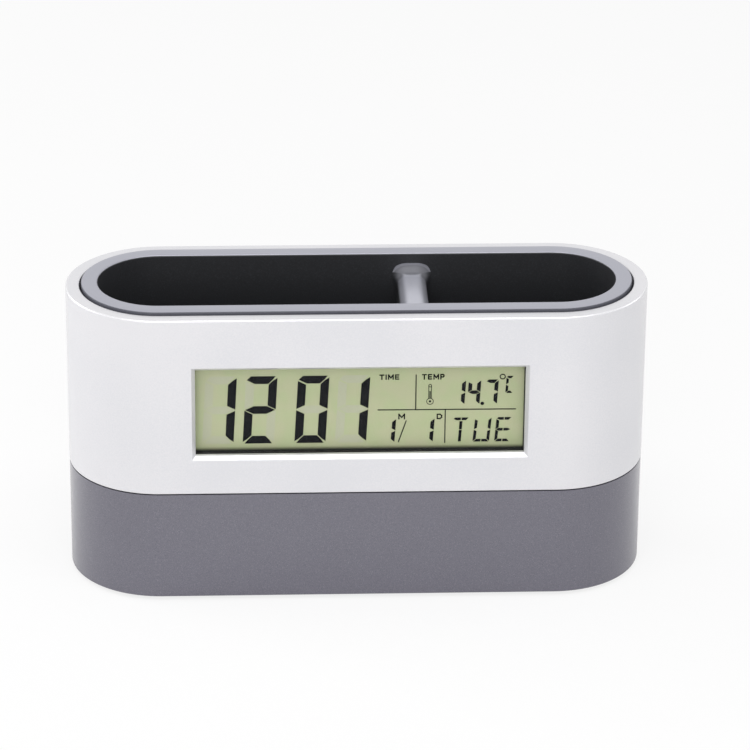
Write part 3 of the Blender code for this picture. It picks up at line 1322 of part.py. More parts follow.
def main():
    root = bpy.data.objects.new("pen_holder_clock_origin", None)
    PIECES.objects.link(root)
    make_sleeve()
    make_liner()
    make_base()
    make_lens()
    make_lcd_frame()
    make_lcd()
    make_main_board()
    make_cells()
    make_contacts()
    make_sensor()
    make_buzzer()
    make_wires()
    make_screws()
    make_feet()
    hinge, door = make_door(root)
    groups = make_keys(root)
    bpy.context.view_layer.update()
    for slide, pieces in groups + [(hinge, (door,))]:
        for piece in pieces:
            keep_place(piece, slide)
    for piece in PIECES.objects:
        if piece.parent is None and piece is not root:
            piece.parent = root


main()
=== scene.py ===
"""The looks of a desk pen holder with a digital clock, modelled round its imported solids.

The sleeve, base, tray, door, keys, feet, screws and cells are modelled again with finer curves and
rounded edges, the display gets its segments and signs, and every piece gets its own finish. Lengths
are in metres in the frame of the solids: +Z is up, the display faces -Y and the ground is at 0.
"""

import math

import bmesh
import bpy
from mathutils import Matrix, Vector


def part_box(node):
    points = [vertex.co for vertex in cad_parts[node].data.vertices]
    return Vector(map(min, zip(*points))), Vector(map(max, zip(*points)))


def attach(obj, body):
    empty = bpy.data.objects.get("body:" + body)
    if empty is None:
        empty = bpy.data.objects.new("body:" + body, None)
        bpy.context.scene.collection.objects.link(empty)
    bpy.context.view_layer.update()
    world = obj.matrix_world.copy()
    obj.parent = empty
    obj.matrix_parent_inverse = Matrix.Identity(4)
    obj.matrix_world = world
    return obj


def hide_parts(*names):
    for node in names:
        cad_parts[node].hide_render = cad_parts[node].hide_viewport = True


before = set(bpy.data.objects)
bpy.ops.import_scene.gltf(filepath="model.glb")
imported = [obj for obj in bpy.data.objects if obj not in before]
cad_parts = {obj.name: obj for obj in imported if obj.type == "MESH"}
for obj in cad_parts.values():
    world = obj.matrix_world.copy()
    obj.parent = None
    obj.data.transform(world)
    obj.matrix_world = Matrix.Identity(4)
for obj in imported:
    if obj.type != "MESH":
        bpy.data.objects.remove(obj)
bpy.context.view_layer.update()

MM = 0.001
NEAR = 0.00002  # how close to a plane counts as on it
SAME = 0.0000002  # vertices this close are one

# Fineness of the curves
END_FACETS = 48  # round one half-circle end of the casing
EDGE_FACETS = 5  # across a rounded edge
ROUND_FACETS = 32  # round a post, a bore or a screw
KEY_FACETS = 20  # round one end of a key or a vent
RAMP_FACETS = 8  # across the corner where the tray's ramp starts
CROWN_FACETS = 10  # across each side of the divider's crown
SMOOTH_ANGLE = 32.0

# Fits
FIT = 0.3 * MM
EMBED = 0.5 * MM
PAST = 1.0 * MM

# Sleeve
SLEEVE_WALL = 2.0 * MM
SLEEVE_EDGE = 0.5 * MM
SEAM_EDGE = 0.1 * MM
RIM_SIDE = 3.4 * MM
RIM_END = 3.55 * MM
RIM_THICK = 2.65 * MM
MOUTH_EDGE = 0.3 * MM
LENS_MARGIN = 2.2 * MM
LENS_RIB = 1.0 * MM
WINDOW_DROP = 0.35 * MM  # the opening reaches lower than the even margin of the pane
BEZEL_WIDTH = 0.95 * MM
BEZEL_DEPTH = 1.2 * MM
BEZEL_EDGE = 0.1 * MM
BOSS_RADIUS = 2.4 * MM
CASE_BOSS_HEIGHT = 9.0 * MM
SCREW_BORE = 1.3 * MM
CASE_SCREW_BITE = 6.0 * MM
BOARD_POST_RADIUS = 2.2 * MM
BOARD_BORE = 1.1 * MM
BOARD_SCREW_BITE = 4.0 * MM

# Base
BASE_WALL = 2.8 * MM
BASE_FLOOR = 2.0 * MM
BASE_EDGE = 0.4 * MM
TONGUE_HEIGHT = 2.5 * MM
POST_RADIUS = 3.3 * MM
POST_SHELF = 5.0 * MM
KEY_SIZE = (8.4 * MM, 4.6 * MM)
KEY_FLANGE_MARGIN = 0.7 * MM
KEY_FLANGE = 0.8 * MM
KEY_STEM_RADIUS = 1.5 * MM
KEY_EDGE = 0.7 * MM
KEY_CROWN = 0.15 * MM
KEY_CREASE = 0.8 * MM
KEY_ARC = 80.0
COUNTERBORE = 2.3 * MM
DOOR_LEDGE = 2.4 * MM
SEAT_THICK = 1.5 * MM
SEAT_MARGIN = 3.2 * MM
HOUSING_WALL = 1.2 * MM
CUT_EDGE = 0.15 * MM
KEY_STRIP_DEPTH = 1.0 * MM
KEY_STRIP_MARGIN = 2.4 * MM
KEY_GAP = 0.25 * MM
KEY_ZONE = 8.0 * MM  # all openings in the back lie this near the height of the keys
END_ZONE = 4.0 * MM  # no opening underneath lies this near the two ends
VENT_X = -32.5 * MM
VENT_LENGTH = 8.0 * MM
VENT_HEIGHT = 1.2 * MM
VENT_PITCH = 3.0 * MM
SOUND_HOLE_RADIUS = 0.9 * MM
SOUND_HOLE_RING = 4.2 * MM
SOUND_HOLE_COUNT = 6
CERAMIC_RADIUS = 7.0 * MM
BUZZER_LEDGE = 1.4 * MM
BUZZER_LEDGE_WIDTH = 1.5 * MM
BUZZER_CUP_WALL = 1.0 * MM
BUZZER_CUP_DEPTH = 1.4 * MM
BAY = (24.9 * MM, 11.1 * MM)
HOOK_SPREAD = 14.0 * MM
HOOK_WIDTH = 5.0 * MM
HOOK_REACH = 1.6 * MM
HOOK_THICK = 0.7 * MM
HOOK_POCKET = 2.2 * MM
HOOK_POCKET_TOP = 2.6 * MM
HOOK_BACK = 1.0 * MM
NIB_REACH = 0.25 * MM
NIB_THICK = 0.6 * MM
NIB_POCKET = 0.9 * MM
TONGUE_WIDTH = 10.0 * MM
TONGUE_LENGTH = 9.0 * MM
TONGUE_SLOT = 0.8 * MM
GRIP_DEPTH = 0.4 * MM
GRIP_WIDTH = 0.7 * MM
GRIP_PITCH = 1.8 * MM
GRIP_COUNT = 3
TAB_WIDTH = 2.4 * MM
CONTACT_FACE = 24.2 * MM
DOOR_THICK = 1.6 * MM
DOOR_EDGE = 0.2 * MM
CELL_EDGE = 0.5 * MM
CELL_NUB = 1.9 * MM
CELL_NUB_LENGTH = 1.0 * MM
FOOT_SUNK = 0.5 * MM
FOOT_EDGE = 0.3 * MM
RAIL_X = 25.0 * MM
RAIL_WIDTH = 3.0 * MM
RAIL_THICK = 1.5 * MM
RAIL_HEIGHT = 10.0 * MM
STRAND_COUNT = 8

# Tray
GROOVE = 0.5 * MM
LINER_RIM = 4.25 * MM
LINER_EDGE = 0.3 * MM
RIM_CREASE = 1.7 * MM  # the rim falls slightly outwards past this line
RIM_FALL = 0.12 * MM
LIP_EDGE = 0.6 * MM
LIP_CROSSING = 76.0
LIP_END = 84.0
LINER_WALL = 1.6 * MM
LINER_DRAFT = 1.3 * MM
LINER_FLOOR = 1.8 * MM
FLOOR_ROUND = 3.0 * MM
SHOULDER_THICK = 1.2 * MM
STEP_ROUND = 1.5 * MM
TRAY_BOSS_HEIGHT = 5.2 * MM
TRAY_SCREW_BITE = 4.2 * MM
STEP_GAP = 0.6 * MM
RAMP_GAP = 1.2 * MM
DIVIDER_WALL = 1.7 * MM
DIVIDER_X = 14.9 * MM
DIVIDER_WIDTH = 7.6 * MM
DIVIDER_DROP = 5.5 * MM
DIVIDER_CROWN = 3.0 * MM
DIVIDER_FLARE = 2.7 * MM
FLARE_STAND = 0.08 * MM  # the flare ends this much before the wall
DIVIDER_SPREAD = 0.65  # how much it widens for each length that it rises
DIVIDER_DRAFT = 0.9 * MM

# Display
INK_THICK = 0.04 * MM
IDLE_THICK = 0.004 * MM
LINE = 0.28  # in millimetres, like all measures of the signs
LETTER_LINE = 0.33
LETTER_SPACE = 0.3
FRAME_DROP = 0.7 * MM  # the frame's opening reaches lower than the window
FRAME_EDGE = 0.2 * MM
PANE_EDGE = 0.1 * MM

# Camera and light
CAMERA_PLACE = (-40.2 * MM, -973.3 * MM, 509.0 * MM)
CAMERA_AZIMUTH = -2.65
CAMERA_ELEVATION = 25.09
CAMERA_ROLL = 0.53
CAMERA_LENS = 198.4
CAMERA_SENSOR = 36.0
FLOOR_REACH = 4.0
FLOOR_WHITE = 0.8  # how much of the floor's light is plain white where it is seen
SKY_LIGHT = 0.45
LAMP_AIM = Vector((0, 0, 0.04))

SLEEVE_LOW, SLEEVE_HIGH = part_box("silver_sleeve")
BASE_LOW, BASE_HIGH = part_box("base_shell")
LINER_LOW, LINER_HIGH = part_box("tray_liner")
LENS_LOW, LENS_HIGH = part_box("window_lens")
PANEL_LOW, PANEL_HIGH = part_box("lcd_panel")
BOARD_LOW, BOARD_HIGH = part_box("main_board")
CELL_LOW, CELL_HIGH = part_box("battery_1")
KEY_LOW, KEY_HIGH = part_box("set_key")
KEY_BOARD_LOW, KEY_BOARD_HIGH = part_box("key_board")
BUZZER_LOW, BUZZER_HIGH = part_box("buzzer")
FOOT_LOW, FOOT_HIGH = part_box("rubber_foot_1")
FRAME_LOW, FRAME_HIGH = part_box("lcd_frame")


def inset(outline, amount):
    """The half length and half depth of an outline, drawn in all round."""
    return (outline[0] - amount, outline[1] - amount)


def centre_of(node):
    """The middle of a solid's box."""
    return sum(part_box(node), Vector()) / 2


def centres(kind):
    """The middles of the four solids of one kind."""
    return [centre_of(f"{kind}_{number}") for number in range(1, 5)]


CASING = (SLEEVE_HIGH.x, SLEEVE_HIGH.y)
SLEEVE_CAVITY = inset(CASING, SLEEVE_WALL)
MOUTH = (CASING[0] - RIM_END, CASING[1] - RIM_SIDE)
BASE_OUTLINE = (BASE_HIGH.x, BASE_HIGH.y)
BASE_CAVITY = inset(BASE_OUTLINE, BASE_WALL)
TONGUE = inset(SLEEVE_CAVITY, FIT)
LINER_RIM_OUTLINE = inset(MOUTH, GROOVE)
LINER_MOUTH = inset(LINER_RIM_OUTLINE, LINER_RIM)
LINER_BOTTOM = inset(LINER_MOUTH, LINER_DRAFT)

SLEEVE_BOTTOM = SLEEVE_LOW.z
SLEEVE_TOP = SLEEVE_HIGH.z
SEAM = SLEEVE_BOTTOM - FIT
RIM_UNDERSIDE = SLEEVE_TOP - RIM_THICK
BASE_BOTTOM = BASE_LOW.z
BASE_DECK = BASE_BOTTOM + BASE_FLOOR
LINER_TOP = LINER_HIGH.z
SHOULDER_TOP = RIM_UNDERSIDE - FIT
SHOULDER_BOTTOM = SHOULDER_TOP - SHOULDER_THICK
LIP_CENTRE = LINER_TOP - LIP_EDGE * math.sin(math.radians(LIP_CROSSING))
TRAY_UNDERSIDE = LINER_LOW.z + TRAY_BOSS_HEIGHT
TRAY_FLOOR = TRAY_UNDERSIDE + LINER_FLOOR
CREST = LINER_TOP - DIVIDER_DROP
FRONT = -CASING[1]
FRONT_INSIDE = FRONT + SLEEVE_WALL
WINDOW_X = centre_of("window_lens").x
WINDOW_Z = (LENS_LOW.z + LENS_HIGH.z - WINDOW_DROP) / 2
WINDOW_WIDTH = LENS_HIGH.x - LENS_LOW.x - 2 * LENS_MARGIN
WINDOW_HEIGHT = LENS_HIGH.z - LENS_LOW.z - 2 * LENS_MARGIN + WINDOW_DROP
DISPLAY_Z = centre_of("lcd_panel").z
KEY_NAMES = ("set", "mode", "up", "down")
KEY_PLACES = [centre_of(f"{name}_key").x for name in KEY_NAMES]

STEP_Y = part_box("board_screw_1")[1].y + STEP_GAP
RAMP_START = BOARD_HIGH.z + RAMP_GAP - (STEP_Y - BOARD_HIGH.y)
HOUSING_Y = centre_of("battery_door").y
RECESS = inset(BAY, -DOOR_LEDGE)
DOOR = inset(RECESS, FIT)
HOUSING = inset(BAY, -HOUSING_WALL)
SEAT = (RECESS[0] + SEAT_MARGIN, RECESS[1] + HOUSING_WALL)
DOOR_TOP = BASE_BOTTOM + DOOR_THICK
SEAT_UNDERSIDE = DOOR_TOP + FIT
SEAT_TOP = SEAT_UNDERSIDE + SEAT_THICK
CELL_AXIS = centre_of("battery_1").z
CELL_RADIUS = (CELL_HIGH.z - CELL_LOW.z) / 2
CELL_Y = abs(centre_of("battery_1").y - HOUSING_Y)
HOUSING_CEILING = CELL_HIGH.z + FIT
HOUSING_TOP = HOUSING_CEILING + HOUSING_WALL
TRAY_POST_TOP = LINER_LOW.z - FIT
KEY_Z = centre_of("set_key").z
KEY_FACE = KEY_HIGH.y
BUZZER_CENTRE = centre_of("buzzer")
BUZZER_RADIUS = (BUZZER_HIGH.x - BUZZER_LOW.x) / 2
FOOT_RADIUS = (FOOT_HIGH.x - FOOT_LOW.x) / 2


# Modelling with operators


def start_piece(name):
    """Opens an empty piece at the origin in edit mode."""
    bpy.ops.object.select_all(action="DESELECT")
    bpy.ops.object.add(type="MESH", location=(0, 0, 0))
    piece = bpy.context.object
    piece.name = name
    piece.data.name = name
    bpy.ops.object.mode_set(mode="EDIT")
    return piece


def close_piece():
    """Turns the faces outwards and leaves edit mode."""
    bpy.ops.mesh.select_all(action="SELECT")
    bpy.ops.mesh.normals_make_consistent(inside=False)
    bpy.ops.object.mode_set(mode="OBJECT")
    return bpy.context.object


def reopen():
    """Goes back into edit mode on the piece at hand."""
    bpy.ops.object.mode_set(mode="EDIT")


def edited():
    mesh = bmesh.from_edit_mesh(bpy.context.edit_object.data)
    mesh.verts.index_update()
    return mesh


def middle(item):
    """The place of a vertex, or the middle of an edge or a face."""
    if isinstance(item, bmesh.types.BMVert):
        return item.co.copy()
    return sum((vertex.co for vertex in item.verts), Vector()) / len(item.verts)


def pick(test, kind="VERT"):
    """Selects the vertices, edges or faces that pass a test."""
    bpy.ops.mesh.select_mode(type=kind)
    bpy.ops.mesh.select_all(action="DESELECT")
    mesh = edited()
    for item in {"VERT": mesh.verts, "EDGE": mesh.edges, "FACE": mesh.faces}[kind]:
        if test(item):
            item.select_set(True)
    mesh.select_flush_mode()
    bmesh.update_edit_mesh(bpy.context.edit_object.data)


def picked():
    return {vertex.index for vertex in edited().verts if vertex.select}


def extrude(shift=(0, 0, 0)):
    bpy.ops.mesh.extrude_region_move(TRANSFORM_OT_translate={"value": shift})


def move(x, y=0.0):
    bpy.ops.transform.translate(value=(x, y, 0))


def scale(centre, *shares):
    """Scales what is selected about a centre, by a share along each axis."""
    bpy.ops.transform.resize(value=shares, center_override=centre)


def start_ring(outline, height, facets):
    """Adds a stadium outline: a circle whose halves are moved apart and joined by edges."""
    reach = outline[0] - outline[1]
    spot = (0, 0, height)
    bpy.ops.mesh.primitive_circle_add(vertices=2 * facets, radius=outline[1], location=spot)
    pick(lambda vertex: vertex.co.x > -NEAR)
    bpy.ops.mesh.split()
    move(reach)
    pick(lambda vertex: vertex.co.x < NEAR)
    move(-reach)
    for side in (-1, 1):
        pick(lambda vertex: abs(abs(vertex.co.x) - reach) < NEAR and vertex.co.y * side > 0)
        bpy.ops.mesh.edge_face_add()
    pick(lambda vertex: True)


def next_ring(old, new, old_height, new_height):
    """Extrudes the selected outline to another size and height."""
    extrude((0, 0, new_height - old_height))
    ring = picked()
    share = new[1] / old[1]
    old_reach = old[0] - old[1]
    new_reach = new[0] - new[1]
    for side in (-1, 1):
        pick(lambda vertex: vertex.index in ring and vertex.co.x * side > 0)
        scale((side * old_reach, 0, new_height), share, share, 1)
        move(side * (new_reach - old_reach))
    pick(lambda vertex: vertex.index in ring)


def stadium_skin(name, stations, closed=False, facets=END_FACETS):
    """A skin through stadium outlines, capped at its ends, or with its ends joined when closed."""
    start_piece(name)
    outline = stations[0][:2]
    height = stations[0][2]
    start_ring(outline, height, facets)
    for length, depth, level in stations[1:]:
        next_ring(outline, (length, depth), height, level)
        outline = (length, depth)
        height = level
    pick(lambda edge: edge.is_boundary, "EDGE")
    if closed:
        bpy.ops.mesh.bridge_edge_loops()
    else:
        bpy.ops.mesh.fill_holes(sides=0)
    return close_piece()


def edge_arc(outline, centre, radius, start, end, grow=-1):
    """Stations across a rounded edge, from angle start to end in degrees about height centre."""
    stations = []
    for step in range(EDGE_FACETS + 1):
        angle = math.radians(start + (end - start) * step / EDGE_FACETS)
        shift = grow * radius * (1 - math.cos(angle))
        stations.append((outline[0] + shift, outline[1] + shift, centre + radius * math.sin(angle)))
    return stations


def around(centre, half):
    """The span that reaches equally far to both sides of a centre."""
    return (centre - half, centre + half)


def block(name, *spans):
    """A block that fills three spans, along X, Y and Z."""
    start_piece(name)
    spot = [(low + high) / 2 for low, high in spans]
    size = [high - low for low, high in spans]
    bpy.ops.mesh.primitive_cube_add(size=1, location=spot, scale=size)
    return close_piece()


def rod(name, radius, start, end, facets=ROUND_FACETS):
    """A round bar from one point to another."""
    start = Vector(start)
    end = Vector(end)
    middle_point = (start + end) / 2
    length = (end - start).length
    turn = Vector((0, 0, 1)).rotation_difference(end - start).to_euler()
    start_piece(name)
    bpy.ops.mesh.primitive_cylinder_add(
        vertices=facets, radius=radius, depth=length, location=middle_point, rotation=turn
    )
    return close_piece()


def pole(name, radius, x, y, low, high, facets=ROUND_FACETS):
    """An upright round bar."""
    return rod(name, radius, (x, y, low), (x, y, high), facets)


def soft_corner(radius, height, edge, way):
    """Stations over a turned piece's soft corner: way is 1 at its foot and -1 at its top."""
    steps = ((1, 0), (0.3, 0.3), (0, 1))[::way]
    return [(radius - edge * inward, height + way * edge * along) for inward, along in steps]


def turned(name, profile, facets=ROUND_FACETS):
    """A round piece about Z: a disc whose rim is extruded through radius and height stations."""
    start_piece(name)
    radius, height = profile[0]
    bpy.ops.mesh.primitive_circle_add(
        vertices=facets, radius=radius, fill_type="NGON", location=(0, 0, height)
    )
    for wide, level in profile[1:]:
        extrude((0, 0, level - height))
        scale((0, 0, level), wide / radius, wide / radius, 1)
        radius = wide
        height = level
    return close_piece()


def only(piece):
    """Selects one piece alone and makes it the active one."""
    bpy.ops.object.select_all(action="DESELECT")
    piece.select_set(True)
    bpy.context.view_layer.objects.active = piece


def put_away(piece):
    bpy.data.objects.remove(piece, do_unlink=True)


def combine(piece, tool, operation):
    """Joins a tool to a piece, or cuts it out, and puts the tool away."""
    only(piece)
    modifier = piece.modifiers.new("shape", "BOOLEAN")
    modifier.object = tool
    modifier.operation = operation
    modifier.solver = "EXACT"
    bpy.ops.object.modifier_apply(modifier=modifier.name)
    put_away(tool)


def fuse(piece, tool):
    combine(piece, tool, "UNION")


def cut(piece, tool):
    combine(piece, tool, "DIFFERENCE")


def round_edges(piece, test, width, segments=2):
    """Bevels the edges that pass a test, and joins the points that this leaves in one place."""
    only(piece)
    reopen()
    pick(test, "EDGE")
    bpy.ops.mesh.bevel(offset=width, segments=segments, affect="EDGES", clamp_overlap=True)
    bpy.ops.mesh.select_all(action="SELECT")
    bpy.ops.mesh.remove_doubles(threshold=SAME)
    bpy.ops.object.mode_set(mode="OBJECT")


def place(piece, location=(0, 0, 0), rotation=(0, 0, 0)):
    """Turns and moves a piece, and puts that into its mesh."""
    only(piece)
    piece.location = location
    piece.rotation_euler = rotation
    bpy.ops.object.transform_apply(location=True, rotation=True, scale=True)


def paint(piece, material):
    piece.data.materials.clear()
    piece.data.materials.append(material)


def smooth(piece, angle=SMOOTH_ANGLE):
    """Shades round faces smooth and keeps flat faces flat."""
    only(piece)
    bpy.ops.object.shade_smooth_by_angle(angle=math.radians(angle))
    modifier = piece.modifiers.new("even_shading", "WEIGHTED_NORMAL")
    modifier.keep_sharp = True
    bpy.ops.object.modifier_apply(modifier=modifier.name)


def dress(piece, material, body, slot, *nodes):
    """Gives a finished piece its finish and its body, and hides the solids that it stands for."""
    smooth(piece)
    paint(piece, material)
    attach(piece, body)
    if nodes:
        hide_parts(*nodes)


def set_out(first, name, material, body, slot, node, location, rotation=(0, 0, 0)):
    """Puts a copy of a first piece, with its own mesh, in its place and dresses it."""
    only(first)
    bpy.ops.object.duplicate(linked=False)
    piece = bpy.context.object
    piece.name = name
    piece.data.name = name
    place(piece, location, rotation)
    dress(piece, material, body, slot, node)


def on_line(edge, axis, value):
    """Whether both ends of an edge lie on a plane across an axis."""
    return all(abs(vertex.co[axis] - value) < NEAR for vertex in edge.verts)


# Finishes


def linear(level):
    """One 8-bit display level as a linear value."""
    share = level / 255
    return share / 12.92 if share <= 0.04045 else ((share + 0.055) / 1.055) ** 2.4


def colour(levels):
    """A colour from its red, green and blue display levels."""
    return (*(linear(level) for level in levels), 1)


class Value:
    """A number in a material, on which Python's operators add Math nodes."""

    def __init__(self, finish, socket):
        self.finish = finish
        self.socket = socket

    def math(self, operation, *values):
        return self.finish.node("ShaderNodeMath", {"operation": operation}, dict(enumerate(values)))

    def __add__(self, other):
        return self.math("ADD", self, other)

    def __radd__(self, other):
        return self.math("ADD", other, self)

    def __sub__(self, other):
        return self.math("SUBTRACT", self, other)

    def __rsub__(self, other):
        return self.math("SUBTRACT", other, self)

    def __mul__(self, other):
        return self.math("MULTIPLY", self, other)

    def __rmul__(self, other):
        return self.math("MULTIPLY", other, self)

    def __abs__(self):
        return self.math("ABSOLUTE", self)

    def ramp(self, low, high):
        """0 below low and 1 above high, with a soft step between; low may be the larger."""
        settings = {"interpolation_type": "SMOOTHSTEP"}
        inputs = {"Value": self, "From Min": min(low, high), "From Max": max(low, high)}
        rising = self.finish.node("ShaderNodeMapRange", settings, inputs)
        return rising if low < high else 1 - rising


class Nodes:
    """A node tree, with one method that adds any node."""

    def __init__(self, tree):
        self.tree = tree

    def feed(self, socket, value):
        if isinstance(value, Value):
            self.tree.links.new(value.socket, socket)
        else:
            socket.default_value = value

    def node(self, kind, settings=None, inputs=None, output=0):
        """Adds a node: its settings first, then the values or links of its inputs."""
        made = self.tree.nodes.new(kind)
        for name, value in (settings or {}).items():
            setattr(made, name, value)
        for name, value in (inputs or {}).items():
            self.feed(made.inputs[name], value)
        return Value(self, made.outputs[output])

    def seen(self):
        """1 where the camera, a reflection or a clear piece shows the background itself."""
        path = self.node("ShaderNodeLightPath").socket.node.outputs
        rays = ("Is Camera Ray", "Is Glossy Ray", "Is Transmission Ray")
        camera, glossy, through = (Value(self, path[ray]) for ray in rays)
        return camera.math("MAXIMUM", camera.math("MAXIMUM", camera, glossy), through)


class Finish(Nodes):
    """A material on the principled shader."""

    def __init__(self, name, levels, roughness, metallic=0.0):
        self.material = bpy.data.materials.new(name)
        self.material.use_nodes = True
        super().__init__(self.material.node_tree)
        self.shader = self.tree.nodes["Principled BSDF"]
        self.put("Base Color", colour(levels))
        self.put("Roughness", roughness)
        self.put("Metallic", metallic)

    def put(self, socket, value):
        """Sets or links one input of the shader."""
        self.feed(self.shader.inputs[socket], value)

    def place(self, stretch=(1, 1, 1), location=(0, 0, 0)):
        """The place on the piece, with the pattern stretched and moved."""
        point = self.node("ShaderNodeTexCoord", output="Object")
        inputs = {"Vector": point, "Scale": stretch, "Location": location}
        return self.node("ShaderNodeMapping", None, inputs)

    def axes(self):
        """The three coordinates of the place on the piece."""
        parts = self.node("ShaderNodeSeparateXYZ", None, {0: self.place()}).socket.node
        return [Value(self, output) for output in parts.outputs]

    def upward(self):
        """How far the surface faces up, from -1 to 1."""
        facing = self.node("ShaderNodeTexCoord", output="Normal")
        return self.node("ShaderNodeSeparateXYZ", None, {0: facing}, 2)

    def away(self):
        """The distance in plan from the middle line of the casing."""
        x, y, z = self.axes()
        past = abs(x) - (CASING[0] - CASING[1])
        past = past.math("MAXIMUM", past, 0.0)
        plan = self.node("ShaderNodeCombineXYZ", None, {0: past, 1: y, 2: 0.0})
        return self.node("ShaderNodeVectorMath", {"operation": "LENGTH"}, {0: plan}, "Value")

    def noise(self, size, detail=2.0, roughness=0.5, stretch=(1, 1, 1)):
        """Cloudy noise with features of a size in metres."""
        inputs = {"Vector": self.place(stretch), "Scale": 1 / size}
        inputs |= {"Detail": detail, "Roughness": roughness}
        return self.node("ShaderNodeTexNoise", None, inputs)

    def cells(self, size, output="Distance"):
        inputs = {"Vector": self.place(), "Scale": 1 / size}
        return self.node("ShaderNodeTexVoronoi", None, inputs, output)

    def mix(self, factor, *colours):
        """One colour over another, each a value or display levels."""
        first, second = (item if isinstance(item, Value) else colour(item) for item in colours)
        inputs = {0: factor, 6: first, 7: second}
        return self.node("ShaderNodeMix", {"data_type": "RGBA"}, inputs, 2)

    def tint(self, factor, *colours):
        self.put("Base Color", self.mix(factor, *colours))

    def bump(self, height, distance, strength=1.0):
        inputs = {"Height": height, "Distance": distance, "Strength": strength}
        self.put("Normal", self.node("ShaderNodeBump", None, inputs))


def satin_silver():
    """Silver paint with a fine satin grain under a clear coat, glossier along its upper edge, with
    a painted highlight there.
    """
    finish = Finish("satin_silver_paint", (224, 224, 227), 0.34, 0.35)
    x, y, z = finish.axes()
    grain = finish.noise(0.35 * MM, 3)
    cloud = finish.noise(30 * MM, 1)
    tone = (grain * 0.5 + cloud * 0.5).ramp(0.35, 0.65)
    satin = finish.mix(tone, (220, 220, 224), (227, 226, 229))
    # The upper outer edge is painted lighter, a painted highlight, where the paint is also glossier
    high = z.ramp(SLEEVE_TOP - 0.55 * SLEEVE_EDGE, SLEEVE_TOP - 0.35 * SLEEVE_EDGE)
    edge = high * finish.away().ramp(CASING[1] - 0.6 * SLEEVE_EDGE, CASING[1] - 0.4 * SLEEVE_EDGE)
    finish.tint(edge, satin, (240, 240, 242))
    finish.put("Roughness", grain * 0.12 + 0.28 - edge * 0.1)
    finish.put("Coat Weight", 0.5)
    finish.put("Coat Roughness", 0.12)
    finish.bump(grain, 0.004 * MM)
    return finish.material


def speckled_grey():
    """Graphite paint with light and dark metal flakes under a clear coat."""
    finish = Finish("speckled_grey_paint", (108, 107, 117), 0.4, 0.6)
    fine = finish.noise(0.2 * MM, 2)
    light = fine.ramp(0.56, 0.70)
    dark = fine.ramp(0.44, 0.30)
    shade = finish.mix(light, (98, 96, 109), (120, 118, 131))
    finish.tint(dark, shade, (80, 78, 91))
    finish.put("Roughness", fine * 0.2 + 0.28)
    finish.put("Coat Weight", 1.0)
    finish.put("Coat Roughness", 0.2)
    finish.put("Coat IOR", 1.75)
    finish.bump(fine, 0.005 * MM)
    return finish.material


def tray_paint():
    """Black plastic with a rim and divider sprayed grey from above, thinner where they fall, and a
    painted highlight along the divider's crest.
    """
    finish = Finish("tray_rim_paint", (170, 172, 180), 0.34, 0.5)
    x, y, z = finish.axes()
    grain = finish.noise(0.3 * MM, 2)
    up = finish.upward()
    outer = finish.away().ramp(LINER_MOUTH[1] + 2 * MM, LINER_MOUTH[1] + 3 * MM)
    high = z.ramp(LINER_TOP - 0.7 * MM, LINER_TOP - 0.5 * MM)
    rim = high * (outer * up.ramp(0.7, 0.95) + (1 - outer) * up.ramp(0.35, 0.8))
    aside = abs(x - DIVIDER_X)
    draft = LINER_DRAFT / (LIP_CENTRE - TRAY_FLOOR - FLOOR_ROUND)
    clear = (z - LIP_CENTRE) * draft + LINER_MOUTH[1] - abs(y)
    above = z.ramp(CREST + 0.01 * MM, CREST + 0.3 * MM)
    near_wall = clear.ramp(DIVIDER_FLARE, DIVIDER_FLARE / 2)
    crest = z.ramp(CREST - 4 * MM, CREST - 1.5 * MM) * up.ramp(-0.1, 0.6) * (1 - above)
    # A lighter band along the divider's crest is a painted highlight: lighter paint and fuller
    # cover
    painted_highlight = aside.ramp(2.9 * MM, 1.7 * MM) * crest
    flare = above * z.ramp(CREST + 3.6 * MM, CREST + 3.1 * MM) * clear.ramp(0.005 * MM, 0.015 * MM)
    thin = clear.ramp(0.12 * MM, 0.05 * MM) * 0.2 + 0.4
    divider = crest * (0.7 - near_wall * 0.35) + painted_highlight * 0.3 + flare * thin
    sprayed = (rim + aside.ramp(7.0 * MM, 6.0 * MM) * divider).ramp(0.0, 1.0)
    # Black plastic, flecked lighter at random; the outside of the rim is a lighter dark grey,
    # partly overspray and partly painted light against the shade of the groove
    dark = finish.mix(outer, (30, 31, 34), (86, 87, 96))
    dust_and_painted_light = finish.mix(outer, (44, 45, 49), (98, 99, 108))
    black = finish.mix(grain.ramp(0.45, 0.75), dark, dust_and_painted_light)
    grey = finish.mix(painted_highlight, (169, 170, 180), (195, 196, 206))
    finish.tint(sprayed, black, grey)
    finish.put("Roughness", 0.5 - sprayed * 0.18)
    finish.put("Metallic", sprayed * 0.35)
    finish.bump(grain, 0.006 * MM)
    return finish.material


def clear_pane():
    """Clear acrylic, nearly invisible from the front."""
    finish = Finish("clear_acrylic", (60, 63, 63), 0.03)
    smear = finish.noise(8 * MM, 2)
    finish.put("Roughness", smear * 0.03 + 0.02)
    finish.put("Alpha", 0.02)
    return finish.material


def display_green():
    """The olive background of a display, slightly mottled, with a soft painted shadow along its
    foot.
    """
    finish = Finish("display_green", (186, 194, 152), 0.35)
    x, y, z = finish.axes()
    cloud = finish.noise(5 * MM, 1)
    fine = finish.noise(0.5 * MM, 2)
    tone = (cloud * 0.8 + fine * 0.2).ramp(0.35, 0.65)
    green = finish.mix(tone, (184, 194, 150), (189, 193, 155))
    foot = DISPLAY_Z - WINDOW_HEIGHT / 2 - FRAME_DROP
    # A soft painted shadow along the foot, under the window's lower edge
    finish.tint(z.ramp(foot, foot + 1.3 * MM), (40, 42, 42), green)
    return finish.material


